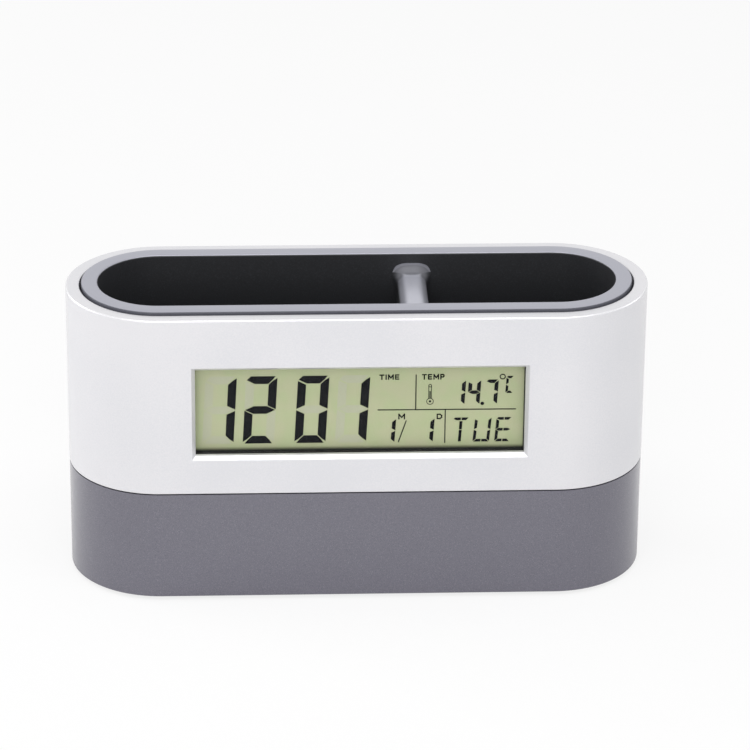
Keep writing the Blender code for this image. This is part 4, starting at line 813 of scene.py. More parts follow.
def display_ink():
    finish = Finish("display_ink", (22, 23, 26), 0.5)
    grain = finish.noise(0.4 * MM, 1)
    finish.tint(grain, (18, 19, 22), (26, 27, 30))
    finish.put("Specular IOR Level", 0.1)
    return finish.material


def idle_tint():
    finish = Finish("idle_tint", (187, 190, 163), 0.35)
    grain = finish.noise(0.5 * MM, 2)
    finish.tint(grain, (184, 188, 160), (190, 193, 166))
    return finish.material


def plain_plastic(name, dark, light, roughness, grain_size=0.4 * MM):
    """Moulded plastic: two close tones in a fine texture."""
    finish = Finish(name, light, roughness)
    grain = finish.noise(grain_size, 3)
    finish.tint(grain, dark, light)
    finish.put("Roughness", grain * 0.15 + roughness - 0.07)
    finish.bump(grain, 0.006 * MM)
    return finish.material


def plated_metal(name, dark, light, roughness, stretch=(1, 1, 8)):
    """Bright metal with fine rolling marks."""
    finish = Finish(name, light, roughness, 1.0)
    marks = finish.noise(0.6 * MM, 3, stretch=stretch)
    finish.tint(marks, dark, light)
    finish.put("Roughness", marks * 0.2 + roughness - 0.1)
    finish.bump(marks, 0.003 * MM)
    return finish.material


def circuit_board():
    """Green solder mask over copper tracks."""
    finish = Finish("circuit_board_mask", (38, 92, 58), 0.4)
    blocks = finish.cells(3.2 * MM, "Color")
    tracks = finish.node("ShaderNodeSeparateXYZ", None, {0: blocks})
    lines = finish.noise(1.2 * MM, 0)
    mask = (tracks * 0.5 + lines).ramp(0.72, 0.76)
    finish.tint(mask, (26, 78, 47), (48, 112, 68))
    finish.bump(mask, 0.03 * MM)
    return finish.material


def striped_rubber():
    """Thin layers of conducting and insulating rubber."""
    finish = Finish("layered_rubber", (60, 60, 63), 0.8)
    x, y, z = finish.axes()
    pitch = 0.4 * MM
    turn = x * (2 * math.pi / pitch)
    layers = turn.math("SINE", turn).ramp(-0.2, 0.2)
    finish.tint(layers, (30, 30, 32), (120, 120, 118))
    return finish.material


def buzzer_disc():
    """A brass plate with a white ceramic disc on it."""
    finish = Finish("buzzer_brass_plate", (201, 169, 96), 0.32, 1.0)
    spot = finish.place(location=(-BUZZER_CENTRE.x, -BUZZER_CENTRE.y, 0))
    flat = finish.node("ShaderNodeVectorMath", {"operation": "MULTIPLY"}, {0: spot, 1: (1, 1, 0)})
    away = finish.node("ShaderNodeVectorMath", {"operation": "LENGTH"}, {0: flat}, "Value")
    ceramic = away.ramp(CERAMIC_RADIUS + 0.1 * MM, CERAMIC_RADIUS - 0.1 * MM)
    grain = finish.noise(0.5 * MM)
    brass = finish.mix(grain, (182, 148, 78), (214, 184, 112))
    finish.tint(ceramic, brass, (226, 222, 208))
    finish.put("Metallic", 1 - ceramic)
    finish.put("Roughness", ceramic * 0.3 + 0.3)
    return finish.material


def cell_wrap():
    """A dark cell jacket between bare metal ends."""
    finish = Finish("cell_wrap", (38, 44, 58), 0.3)
    x, y, z = finish.axes()
    grain = finish.noise(0.5 * MM)
    end = CELL_HIGH.x - CELL_NUB_LENGTH - 0.4 * CELL_EDGE
    bare = abs(x).ramp(end, end + 0.1 * MM)
    jacket = finish.mix(grain, (32, 38, 52), (42, 48, 64))
    finish.tint(bare, jacket, (200, 198, 190))
    finish.put("Metallic", bare)
    finish.put("Roughness", grain * 0.1 + 0.22)
    return finish.material


def ribbon_strands():
    """Flat grey cable: strands side by side, the first one red."""
    low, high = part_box("ribbon_cable")
    strand_width = (high.x - low.x) / STRAND_COUNT
    finish = Finish("ribbon_strands", (190, 191, 194), 0.5)
    x, y, z = finish.axes()
    strand = (x - low.x) * (math.pi / strand_width)
    ridge = abs(strand.math("SINE", strand))
    first = x.ramp(low.x + 1.05 * strand_width, low.x + 0.95 * strand_width)
    # Darker in the creases between strands: painted shade
    grey = finish.mix(ridge.ramp(0.0, 0.4), (150, 151, 154), (198, 199, 202))
    finish.tint(first, grey, (178, 44, 40))
    finish.bump(ridge, 0.1 * MM)
    return finish.material


SILVER = satin_silver()
GREY = speckled_grey()
TRAY = tray_paint()
CLEAR = clear_pane()
GREEN = display_green()
INK = display_ink()
IDLE = idle_tint()
BLACK = plain_plastic("black_plastic", (22, 23, 25), (30, 31, 33), 0.45)
KEY_GREY = plain_plastic("key_plastic", (166, 168, 172), (178, 180, 184), 0.4)
RUBBER = plain_plastic("foot_rubber", (28, 28, 29), (42, 42, 43), 0.85, 0.25 * MM)
EPOXY = plain_plastic("chip_epoxy", (14, 14, 16), (22, 22, 24), 0.25, 1.5 * MM)
RED = plain_plastic("red_insulation", (164, 30, 28), (186, 42, 38), 0.4)
DARK = plain_plastic("black_insulation", (18, 18, 19), (30, 30, 31), 0.4)
STEEL = plated_metal("zinc_steel", (160, 162, 166), (196, 198, 200), 0.3)
NICKEL = plated_metal("nickel_plate", (186, 183, 172), (212, 209, 198), 0.25)
BOARD = circuit_board()
STRIPS = striped_rubber()
BUZZER = buzzer_disc()
WRAP = cell_wrap()
RIBBON = ribbon_strands()


# Sleeve


def window_tool():
    """The window with bevelled sides: a block whose front end is extruded wider."""
    x = around(WINDOW_X, WINDOW_WIDTH / 2)
    z = around(WINDOW_Z, WINDOW_HEIGHT / 2)
    block("window_tool", x, (FRONT + BEZEL_DEPTH, FRONT_INSIDE + PAST), z)
    reopen()
    pick(lambda face: face.normal.y < -0.5, "FACE")
    extrude((0, -BEZEL_DEPTH - PAST, 0))
    grown = 2 * BEZEL_WIDTH * (1 + PAST / BEZEL_DEPTH)
    scale((WINDOW_X, FRONT, WINDOW_Z), 1 + grown / WINDOW_WIDTH, 1, 1 + grown / WINDOW_HEIGHT)
    return close_piece()


def lens_rib():
    """The low rib round the window pane: a block with a smaller one cut out of it."""
    blocks = []
    for wider, past in ((LENS_RIB, 0), (0, PAST)):
        grown = LENS_MARGIN + FIT + wider
        x = around(WINDOW_X, WINDOW_WIDTH / 2 + grown)
        y = (FRONT_INSIDE - EMBED - past, LENS_HIGH.y + past)
        blocks.append(block("lens_rib", x, y, around(WINDOW_Z, WINDOW_HEIGHT / 2 + grown)))
    cut(*blocks)
    return blocks[0]


def make_sleeve():
    stations = [(*inset(CASING, SEAM_EDGE), SLEEVE_BOTTOM), (*CASING, SLEEVE_BOTTOM + SEAM_EDGE)]
    stations += edge_arc(CASING, SLEEVE_TOP - SLEEVE_EDGE, SLEEVE_EDGE, 0, 90)
    stations += edge_arc(MOUTH, SLEEVE_TOP - MOUTH_EDGE, MOUTH_EDGE, 90, 0, grow=1)
    stations += [(*MOUTH, RIM_UNDERSIDE)]
    stations += [(*SLEEVE_CAVITY, RIM_UNDERSIDE), (*SLEEVE_CAVITY, SLEEVE_BOTTOM)]
    sleeve = stadium_skin("sleeve", stations, closed=True)
    fuse(sleeve, lens_rib())
    tip = BOARD_LOW.y - 2 * FIT
    for x, y, z in centres("board_screw"):
        fuse(sleeve, rod("post", BOARD_POST_RADIUS, (x, FRONT_INSIDE - EMBED, z), (x, tip, z)))
        bottom = tip - BOARD_SCREW_BITE - FIT
        cut(sleeve, rod("bore", BOARD_BORE, (x, bottom, z), (x, tip + PAST, z)))
    for x, y, z in centres("case_screw"):
        top = SLEEVE_BOTTOM + CASE_BOSS_HEIGHT
        fuse(sleeve, pole("boss", BOSS_RADIUS, x, y, SLEEVE_BOTTOM, top))
        top = SLEEVE_BOTTOM + CASE_SCREW_BITE + FIT
        cut(sleeve, pole("bore", SCREW_BORE, x, y, SLEEVE_BOTTOM - PAST, top))
    cut(sleeve, window_tool())
    half_x = WINDOW_WIDTH / 2 + 2 * BEZEL_WIDTH
    half_z = WINDOW_HEIGHT / 2 + 2 * BEZEL_WIDTH

    def round_the_window(edge):
        spot = middle(edge)
        beside = abs(spot.x - WINDOW_X) < half_x and abs(spot.z - WINDOW_Z) < half_z
        return beside and (on_line(edge, 1, FRONT) or on_line(edge, 1, FRONT + BEZEL_DEPTH))

    round_edges(sleeve, round_the_window, BEZEL_EDGE)
    dress(sleeve, SILVER, "root", "satin_silver", "silver_sleeve")


# Base


def capsule_tool(name, size, low_y, high_y, x, z):
    """A round-ended block through the back wall, of a length and a height."""
    half = (size[0] / 2, size[1] / 2)
    tool = stadium_skin(name, [(*half, low_y), (*half, high_y)], facets=KEY_FACETS)
    place(tool, (x, 0, z), (-math.pi / 2, 0, 0))
    return tool


def add_battery_housing(base):
    """The battery box, the seat of its door and the pockets for the door's hooks and nib."""
    root = BASE_DECK - EMBED
    past = BASE_BOTTOM - PAST
    for half, low, high, shape in (
        (SEAT, root, SEAT_TOP, fuse),
        (HOUSING, root, HOUSING_TOP, fuse),
        (RECESS, past, SEAT_UNDERSIDE, cut),
        (BAY, past, HOUSING_CEILING, cut),
    ):
        y = around(HOUSING_Y, half[1])
        shape(base, block("battery_housing", around(0, half[0]), y, (low, high)))
    for side in (-1, 1):
        x = (-RECESS[0] - HOOK_POCKET, -RECESS[0] + HOOK_BACK)
        y = around(HOUSING_Y + side * HOOK_SPREAD / 2, HOOK_WIDTH / 2 + FIT)
        z = (DOOR_TOP - HOOK_THICK - FIT / 2, BASE_BOTTOM + HOOK_POCKET_TOP)
        cut(base, block("hook_pocket", x, y, z))
        y = around(HOUSING_Y + side * CELL_Y, TAB_WIDTH / 2 + FIT)
        z = (HOUSING_CEILING - PAST, HOUSING_TOP + PAST)
        cut(base, block("tab_slot", (-BAY[0], -CONTACT_FACE + FIT), y, z))
    x = (RECESS[0] - FIT, RECESS[0] + NIB_POCKET)
    y = around(HOUSING_Y, TONGUE_WIDTH / 2 - TONGUE_SLOT)
    cut(base, block("nib_pocket", x, y, (DOOR_TOP - NIB_THICK - FIT, SEAT_UNDERSIDE)))


def add_screw_posts(base):
    """Deep-set posts: four for the sleeve in the round ends, and four for the tray."""
    for kind, top in (("case_screw", SEAM), ("tray_screw", TRAY_POST_TOP)):
        shelf = top - POST_SHELF
        for x, y, z in centres(kind):
            fuse(base, pole("post", POST_RADIUS, x, y, BASE_DECK - EMBED, top))
            cut(base, pole("counterbore", COUNTERBORE, x, y, BASE_BOTTOM - PAST, shelf))
            cut(base, pole("bore", SCREW_BORE, x, y, shelf - EMBED, top + PAST))
            if top == SEAM:
                notch_top = SEAM + TONGUE_HEIGHT + PAST
                cut(base, pole("tongue_notch", BOSS_RADIUS + FIT, x, y, SEAM, notch_top))


def add_key_openings(base):
    """The sunk strip on the back with its key holes, and the vents beside it."""
    wall = BASE_OUTLINE[1]
    inner = BASE_CAVITY[1] - PAST
    span = KEY_PLACES[0] - KEY_PLACES[-1] + KEY_SIZE[0] + 2 * KEY_STRIP_MARGIN
    tall = KEY_SIZE[1] + 2 * KEY_STRIP_MARGIN
    sunk = wall - KEY_STRIP_DEPTH
    cut(base, capsule_tool("key_strip", (span, tall), sunk, wall + PAST, 0, KEY_Z))
    hole = (KEY_SIZE[0] + 2 * KEY_GAP, KEY_SIZE[1] + 2 * KEY_GAP)
    for x in KEY_PLACES:
        cut(base, capsule_tool("key_hole", hole, inner, wall, x, KEY_Z))
    for row in (-1, 0, 1):
        z = KEY_Z + row * VENT_PITCH
        cut(base, capsule_tool("vent", (VENT_LENGTH, VENT_HEIGHT), inner, wall + PAST, VENT_X, z))


def add_board_rails(base):
    """Two slotted rails that the key board stands in."""
    slot = (KEY_BOARD_LOW.y - FIT, KEY_BOARD_HIGH.y + FIT)
    thick = (slot[0] - RAIL_THICK, slot[1] + RAIL_THICK)
    top = KEY_BOARD_LOW.z + RAIL_HEIGHT
    for x in (-RAIL_X, RAIL_X):
        fuse(base, block("rail", around(x, RAIL_WIDTH / 2), thick, (BASE_DECK - EMBED, top)))
        past = around(x, RAIL_WIDTH / 2 + PAST)
        cut(base, block("rail_slot", past, slot, (SEAT_TOP, top + PAST)))


def add_buzzer_cup(base):
    """A round cup on the floor for the buzzer, over a ring of sound holes."""
    x, y, z = BUZZER_CENTRE
    ledge = BASE_DECK + BUZZER_LEDGE
    rim = ledge + BUZZER_CUP_DEPTH
    room = BUZZER_RADIUS + FIT
    for radius, low, high, shape in (
        (room + BUZZER_CUP_WALL, BASE_DECK - EMBED, rim, fuse),
        (room, ledge, rim + PAST, cut),
        (BUZZER_RADIUS - BUZZER_LEDGE_WIDTH, BASE_DECK, rim + PAST, cut),
    ):
        shape(base, pole("buzzer_cup", radius, x, y, low, high, 2 * ROUND_FACETS))
    low = BASE_BOTTOM - PAST
    for index in range(SOUND_HOLE_COUNT + 1):
        angle = 2 * math.pi * index / SOUND_HOLE_COUNT
        ring = SOUND_HOLE_RING if index < SOUND_HOLE_COUNT else 0.0
        spot = (x + ring * math.cos(angle), y + ring * math.sin(angle))
        cut(base, pole("sound_hole", SOUND_HOLE_RADIUS, *spot, low, BASE_DECK + EMBED))


def round_base_openings(base):
    """Softens the outer edges of the key strip, the vents and the holes underneath."""

    def opening_edge(edge):
        if not (edge.is_manifold and edge.calc_face_angle() > math.radians(SMOOTH_ANGLE)):
            return False
        length, wall = BASE_OUTLINE
        back = on_line(edge, 1, wall) and abs(middle(edge).z - KEY_Z) < KEY_ZONE
        sunk = on_line(edge, 1, wall - KEY_STRIP_DEPTH) and edge.calc_face_angle_signed() > 0
        under = on_line(edge, 2, BASE_BOTTOM) and abs(middle(edge).x) < length - END_ZONE
        return back or sunk or under

    round_edges(base, opening_edge, CUT_EDGE)


def make_base():
    stations = edge_arc(BASE_OUTLINE, BASE_BOTTOM + BASE_EDGE, BASE_EDGE, -90, 0)
    stations += [(*BASE_OUTLINE, SEAM), (*TONGUE, SEAM), (*TONGUE, SEAM + TONGUE_HEIGHT)]
    stations += [(*BASE_CAVITY, SEAM + TONGUE_HEIGHT), (*BASE_CAVITY, BASE_DECK)]
    base = stadium_skin("base", stations)
    add_board_rails(base)
    add_battery_housing(base)
    add_screw_posts(base)
    add_key_openings(base)
    add_buzzer_cup(base)
    for x, y, z in centres("rubber_foot"):
        top = BASE_BOTTOM + FOOT_SUNK + FIT
        cut(base, pole("foot_recess", FOOT_RADIUS + FIT, x, y, BASE_BOTTOM - PAST, top))
    round_base_openings(base)
    dress(base, GREY, "root", "speckled_grey", "base_shell")


# Tray


def step_tool(name, step_y, corner_z, radius):
    """The room in front of the stepped wall: a block with a slanted and rounded upper back edge."""
    run = LINER_MOUTH[1] + LINER_WALL + step_y
    top = corner_z + run
    y = (-CASING[1] - PAST, step_y)
    tool = block(name, around(0, CASING[0]), y, (LINER_LOW.z - PAST, top))
    reach = radius * math.tan(math.pi / 8)
    for level, width, segments in ((top, run, 1), (corner_z, reach, RAMP_FACETS)):
        round_edges(
            tool, lambda edge: on_line(edge, 1, step_y) and on_line(edge, 2, level), width, segments
        )
    return tool


def divider_tool():
    """The divider: drafted sides under a round crown, flaring where it meets the walls."""
    wall = LINER_MOUTH[1] - FLARE_STAND
    half = DIVIDER_WIDTH / 2
    y = around(0, wall - DIVIDER_FLARE)
    tool = block("divider", around(DIVIDER_X, half), y, (TRAY_UNDERSIDE, CREST))

    def crown(edge):
        return on_line(edge, 2, CREST) and abs(abs(middle(edge).x - DIVIDER_X) - half) < NEAR

    round_edges(tool, crown, DIVIDER_CROWN, CROWN_FACETS)
    reopen()
    pick(lambda vertex: abs(vertex.co.z - TRAY_UNDERSIDE) < NEAR)
    draft = (half + DIVIDER_DRAFT) / half
    scale((DIVIDER_X, 0, TRAY_UNDERSIDE), draft, 1, 1)
    for side in (-1, 1):
        y = side * (wall - DIVIDER_FLARE)
        rise = 0.0
        pick(lambda face: abs(middle(face).y - y) < NEAR and abs(face.normal.y) > 0.9, "FACE")
        steps = 2 * EDGE_FACETS
        for step in range(1, steps + 2):
            angle = math.pi / 2 * min(step, steps) / steps
            past = PAST if step > steps else 0
            new_y = side * (wall - DIVIDER_FLARE * (1 - math.sin(angle)) + past)
            new_rise = DIVIDER_FLARE * (1 - math.cos(angle))
            extrude((0, new_y - y, 0))
            wide = (half + DIVIDER_SPREAD * new_rise) / (half + DIVIDER_SPREAD * rise)
            tall = (CREST + new_rise - TRAY_UNDERSIDE) / (CREST + rise - TRAY_UNDERSIDE)
            scale((DIVIDER_X, new_y, TRAY_UNDERSIDE), wide, 1, tall)
            y = new_y
            rise = new_rise
    return close_piece()


def add_divider_core(tray):
    """The divider is hollow from underneath: a block whose top is narrower."""
    half = DIVIDER_WIDTH / 2 + DIVIDER_DRAFT - DIVIDER_WALL
    y = (STEP_Y + 2 * LINER_WALL, LINER_BOTTOM[1] - LINER_WALL)
    top = CREST - DIVIDER_CROWN - DIVIDER_WALL / 2
    block("divider_core", around(DIVIDER_X, half), y, (TRAY_UNDERSIDE - PAST, top))
    reopen()
    pick(lambda vertex: abs(vertex.co.z - top) < NEAR)
    narrow = (half - DIVIDER_DRAFT) / half
    scale((DIVIDER_X, 0, top), narrow, 1, 1)
    cut(tray, close_piece())


def make_tray():
    wall_bottom = inset(LINER_BOTTOM, -LINER_WALL)
    wall_top = inset(LINER_MOUTH, -LINER_WALL)
    outside = edge_arc(wall_bottom, TRAY_UNDERSIDE + LINER_FLOOR, LINER_FLOOR, -90, 0)
    outside += [(*wall_top, SHOULDER_BOTTOM), (*TONGUE, SHOULDER_BOTTOM), (*TONGUE, SHOULDER_TOP)]
    outside += [(*LINER_RIM_OUTLINE, SHOULDER_TOP)]
    outside += edge_arc(LINER_RIM_OUTLINE, LINER_TOP - RIM_FALL - LINER_EDGE, LINER_EDGE, 0, 90)
    outside += [(*inset(LINER_RIM_OUTLINE, RIM_CREASE), LINER_TOP)]
    tray = stadium_skin("tray", outside)

    # The rounded lip leans a little past the top face, so that the two faces cross at an angle
    inside = edge_arc(LINER_BOTTOM, TRAY_FLOOR + FLOOR_ROUND, FLOOR_ROUND, -90, 0)
    inside += edge_arc(LINER_MOUTH, LIP_CENTRE, LIP_EDGE, 0, LIP_END, grow=1)
    inside += [(inside[-1][0], inside[-1][1], LINER_TOP + PAST)]
    hollow = stadium_skin("tray_hollow", inside)
    corner = RAMP_START + LINER_WALL * math.tan(math.pi / 8)
    cut(hollow, step_tool("step_inside", STEP_Y + LINER_WALL, corner, STEP_ROUND + LINER_WALL))
    cut(hollow, divider_tool())
    cut(tray, step_tool("step_outside", STEP_Y, RAMP_START, STEP_ROUND))
    cut(tray, hollow)
    add_divider_core(tray)
    for x, y, z in centres("tray_screw"):
        low = LINER_LOW.z
        fuse(tray, pole("boss", BOSS_RADIUS, x, y, low, TRAY_UNDERSIDE + EMBED))
        cut(tray, pole("bore", SCREW_BORE, x, y, low - PAST, low + TRAY_SCREW_BITE + FIT))
    dress(tray, TRAY, "root", "liner_grey", "tray_liner")


# Display


def make_pane(name, material, slot, node):
    """A plain plate with softened edges, as large as its solid."""
    pane = block(name, *zip(*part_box(node)))
    round_edges(pane, lambda edge: True, PANE_EDGE)
    dress(pane, material, "root", slot, node)


def make_display_frame():
    """The black frame round the glass, with a pocket that opens to the back."""
    holder = block("display_frame", *zip(FRAME_LOW, FRAME_HIGH))
    x = (PANEL_LOW.x - FIT, PANEL_HIGH.x + FIT)
    y = (PANEL_LOW.y - FIT, FRAME_HIGH.y + PAST)
    cut(holder, block("glass_pocket", x, y, (PANEL_LOW.z - FIT, PANEL_HIGH.z + FIT)))
    y = (FRAME_LOW.y - PAST, PANEL_LOW.y)
    low, high = around(DISPLAY_Z, WINDOW_HEIGHT / 2)
    cut(holder, block("frame_opening", around(0, WINDOW_WIDTH / 2), y, (low - FRAME_DROP, high)))
    round_edges(holder, lambda edge: on_line(edge, 1, FRAME_LOW.y), FRAME_EDGE)
    dress(holder, BLACK, "root", "black_plastic", "lcd_frame")


def add_plane(centre, size):
    """A flat plane of a length and a width."""
    spot = (centre.x, centre.y, 0)
    bpy.ops.mesh.primitive_plane_add(size=1, location=spot)
    scale(spot, *size, 1)


class Sign:
    """A sign of bars, drawn flat: its middle, width, height, stroke, slant in degrees and gap."""

    def __init__(self, x, y, width, height, stroke, slant, gap=0.35, split=False):
        self.x = x * MM
        self.y = y * MM
        self.half_width = width * MM / 2
        self.half_height = height * MM / 2
        self.stroke = stroke * MM
        self.gap = gap * MM
        self.lean = math.tan(math.radians(slant))
        self.split = split

    def bar(self, start, end, outer, start_draw, end_draw):
        """One bar between two points: a plane whose two divided ends have their points drawn in.

        outer is the direction of the sign's outline; the draws belong to the outer, middle and
        inner points of an end.
        """
        along = (end - start).normalized()
        centre = (start + end) / 2
        upright = abs(along.y) > 0.5
        length = (end - start).length
        size = (self.stroke, length) if upright else (length, self.stroke)
        add_plane(centre, size)
        corners = picked()
        axis = 1 if upright else 0

        def end_edge(edge):
            ours = all(vertex.index in corners for vertex in edge.verts)
            return ours and abs(middle(edge)[axis] - centre[axis]) > length / 2 - NEAR

        pick(end_edge, "EDGE")
        bpy.ops.mesh.subdivide(number_cuts=1)
        ours = picked()
        for point, way, draws in ((start, along, start_draw), (end, -along, end_draw)):
            for side, draw in zip((1, 0, -1), draws):
                spot = point + outer * side * self.stroke / 2
                moved = spot + way * draw
                pick(lambda vertex: (vertex.co.xy - spot).length < NEAR and vertex.index in ours)
                lean = (moved.y - self.y) * self.lean
                move(moved.x - spot.x + lean, moved.y - spot.y)

    def draw(self, bars):
        """Draws named bars: a to f clockwise from the top, g across, s and t down the middle."""
        width = self.half_width
        height = self.half_height
        stroke = self.stroke
        half = stroke / 2
        gap = self.gap
        mitre = (0.15 * stroke + gap / 2, half + gap / 2, stroke + gap / 2)
        point = (half + gap / 2, gap / 2, stroke + gap / 2)
        slope = (half + gap, 0.75 * stroke + gap, stroke + gap)
        waist = (gap / 2, gap / 2 + half / 2, gap / 2 + half)
        tip = (stroke + gap / 2, gap / 2, stroke + gap / 2)
        blunt = (gap / 2, gap / 2, gap / 2)
        left = Vector((-1, 0))
        right = Vector((1, 0))
        up = Vector((0, 1))
        down = Vector((0, -1))
        forms = {
            "a": ((-width, height - half), (width, height - half), up, point, mitre),
            "b": ((width - half, height), (width - half, 0), right, mitre, waist),
            "c": ((width - half, 0), (width - half, -height), right, waist, mitre),
            "d": ((-width, half - height), (width, half - height), down, mitre, mitre),
            "e": ((half - width, 0), (half - width, -height), left, waist, mitre),
            "f": ((half - width, height), (half - width, 0), left, slope, waist),
            "g": ((-width, 0), (width, 0), up, tip, tip),
            "s": ((0, height - stroke - gap), (0, 0), left, blunt, blunt),
            "t": ((0, 0), (0, -height), left, blunt, blunt),
        }
        middle_point = Vector((self.x, self.y))
        for letter in bars:
            start, end, outer, start_draw, end_draw = forms[letter]
            start = middle_point + Vector(start)
            end = middle_point + Vector(end)
            if self.split and letter in "adg":
                centre = (start + end) / 2
                self.bar(start, centre, outer, start_draw, blunt)
                self.bar(centre, end, outer, blunt, end_draw)
            else:
                self.bar(start, end, outer, start_draw, end_draw)


def add_line(start, end, width, spare=0.0):
    """A thin flat line between two points in millimetres, with some length to spare."""
    start = Vector(start) * MM
    end = Vector(end) * MM
    centre = (start + end) / 2
    add_plane(centre, ((end - start).length + spare * MM, width * MM))
    turn = math.atan2(end.y - start.y, end.x - start.x)
    bpy.ops.transform.rotate(value=-turn, orient_axis="Z", center_override=(centre.x, centre.y, 0))


def add_ring(x, y, radius, stroke):
    """A flat ring: a circle extruded inwards."""
    centre = (x * MM, y * MM, 0)
    bpy.ops.mesh.primitive_circle_add(vertices=ROUND_FACETS, radius=radius * MM, location=centre)
    extrude()
    share = 1 - stroke / radius
    scale(centre, share, share, 1)


def add_dot(x, y, radius):
    centre = (x * MM, y * MM, 0)
    bpy.ops.mesh.primitive_circle_add(
        vertices=ROUND_FACETS, radius=radius * MM, fill_type="NGON", location=centre
    )


def stand_up(piece, material=INK, slot="black_plastic", thick=INK_THICK):
    """Gives a flat sign its thickness and stands it in front of the display glass."""
    bpy.ops.mesh.select_all(action="SELECT")
    extrude((0, 0, thick))
    close_piece()
    place(piece, (0, PANEL_LOW.y - thick / 2, DISPLAY_Z), (math.pi / 2, 0, 0))
    dress(piece, material, "root", slot)


TIME_DIGITS = ((-35.75, "bc"), (-25.4, "abged"), (-12.15, "abcdef"), (-1.72, "bc"))


def make_large_digits():
    """The large digits, and in a faint tint their bars that are off."""
    for name, shown, how in (
        ("time_digits", True, ()),
        ("idle_segments", False, (IDLE, "lcd_green", IDLE_THICK)),
    ):
        piece = start_piece(name)
        for x, bars in TIME_DIGITS:
            sign = Sign(x, -1.15, 8.0, 19.0, 2.15, 3)
            sign.draw([bar for bar in "abcdefg" if (bar in bars) == shown])
        stand_up(piece, *how)


def make_temperature_digits():
    piece = start_piece("temperature_digits")
    for x, width, bars in ((25.5, 3.2, "bc"), (29.37, 3.2, "bcfg"), (33.87, 3.15, "abc")):
        Sign(x, 3.25, width, 7.05, 0.98, 3, 0.22).draw(bars)
    add_dot(31.5, 0.05, 0.48)
    add_ring(36.6, 7.57, 0.8, 0.29)
    Sign(38.45, 5.34, 1.95, 4.8, 0.64, 3, 0.2).draw("adef")
    stand_up(piece)


def make_date_digits():
    piece = start_piece("date_digits")
    for x in (7.88, 17.75):
        Sign(x, -7.4, 2.8, 6.9, 0.98, 3.5, 0.22).draw("bc")
    add_line((10.07, -10.74), (12.07, -4.57), LINE)
    stand_up(piece)


def make_weekday_letters():
    piece = start_piece("weekday_letters")
    for x, width, slant, bars in (
        (26.0, 4.1, 3.5, "ast"),
        (31.6, 4.25, 5, "bcdef"),
        (37.0, 3.95, 4.5, "adefg"),
    ):
        Sign(x, -7.35, width, 6.9, 0.75, slant, 0.2, split=True).draw(bars)
    stand_up(piece)


def make_display_lines():
    piece = start_piece("display_lines")
    for start, end in (
        ((14.45, 8.39), (14.45, -1.49)),
        ((4.67, -1.5), (40.21, -1.6)),
        ((22.04, -1.6), (22.04, -11.07)),
    ):
        add_line(start, end, LINE)
    stand_up(piece)


def make_thermometer():
    """A tube with a round top over a ringed bulb, filled to its middle."""
    piece = start_piece("thermometer")
    add_ring(18.08, 0.79, 0.94, 0.17)
    add_dot(18.08, 0.79, 0.3)
    add_ring(18.08, 5.22, 0.44, 0.17)
    for x, top, width in ((17.73, 5.2, 0.17), (18.43, 5.2, 0.17), (18.08, 3.7, 0.3)):
        add_line((x, 1.6), (x, top), width)
    stand_up(piece)


LETTERS = {
    "D": ((0, 0), (0, 1), (0.6, 1), (1, 0.7), (1, 0.3), (0.6, 0), (0, 0)),
    "E": ((1, 1), (0, 1), (0, 0.5), (0.9, 0.5), (0, 0.5), (0, 0), (1, 0)),
    "I": ((0.5, 1), (0.5, 0)),
    "M": ((0, 0), (0, 1), (0.5, 0.3), (1, 1), (1, 0)),
    "P": ((0, 0), (0, 1), (0.75, 1), (1, 0.85), (1, 0.6), (0.75, 0.45), (0, 0.45)),
    "T": ((0, 1), (0.5, 1), (0.5, 0), (0.5, 1), (1, 1)),
}
LETTER_WIDTHS = {"D": 0.8, "E": 0.68, "I": 0.0, "M": 1.0, "P": 0.68, "T": 0.8}


def add_word(word, left, right, bottom, top):
    """One word in plain capitals, fitted to its place on the display in millimetres."""
    stroke = LETTER_LINE
    height = top - bottom - stroke
    widths = [LETTER_WIDTHS[letter] for letter in word]
    room = right - left - stroke - (stroke + LETTER_SPACE) * (len(word) - 1)
    x = left + stroke / 2
    for letter, share in zip(word, widths):
        width = room * share / sum(widths)
        shape = LETTERS[letter]
        points = [(x + across * width, bottom + stroke / 2 + up * height) for across, up in shape]
        for start, end in zip(points, points[1:]):
            add_line(start, end, stroke, stroke)
        x += width + stroke + LETTER_SPACE


def make_display_labels():
    piece = start_piece("display_labels")
    for word, *edges in (
        ("TIME", 5.07, 10.16, 7.01, 8.5),
        ("TEMP", 15.93, 21.71, 6.94, 8.5),
        ("M", 10.0, 11.75, -4.24, -2.63),
        ("D", 19.85, 21.3, -4.29, -2.74),
    ):
        add_word(word, *edges)
    stand_up(piece)


# Keys


def make_key():
    """One key, facing along Y from the middle of the keys: flange, rounded face and stem."""
    flange = (KEY_SIZE[0] / 2 + KEY_FLANGE_MARGIN, KEY_SIZE[1] / 2 + KEY_FLANGE_MARGIN)
    outline = (KEY_SIZE[0] / 2, KEY_SIZE[1] / 2)
    back = BASE_CAVITY[1] - FIT
    front = back - KEY_FLANGE
    stations = [(*flange, front), (*flange, back), (*outline, back)]
    stations += edge_arc(outline, KEY_FACE - KEY_EDGE - KEY_CROWN, KEY_EDGE, 0, KEY_ARC)
    stations += [(*inset(stations[-1], KEY_CREASE), KEY_FACE)]
    key = stadium_skin("key", stations, facets=KEY_FACETS)
    fuse(key, rod("stem", KEY_STEM_RADIUS, (0, 0, KEY_LOW.y), (0, 0, front + EMBED)))
    place(key, (0, 0, KEY_Z), (-math.pi / 2, 0, 0))
    return key


def make_keys():
    first = make_key()
    for x, name in zip(KEY_PLACES, KEY_NAMES):
        body = f"{name}_key_body"
        set_out(first, f"{name}_key_cap", KEY_GREY, body, "key_plastic", f"{name}_key", (x, 0, 0))
    put_away(first)


# Battery door and cells


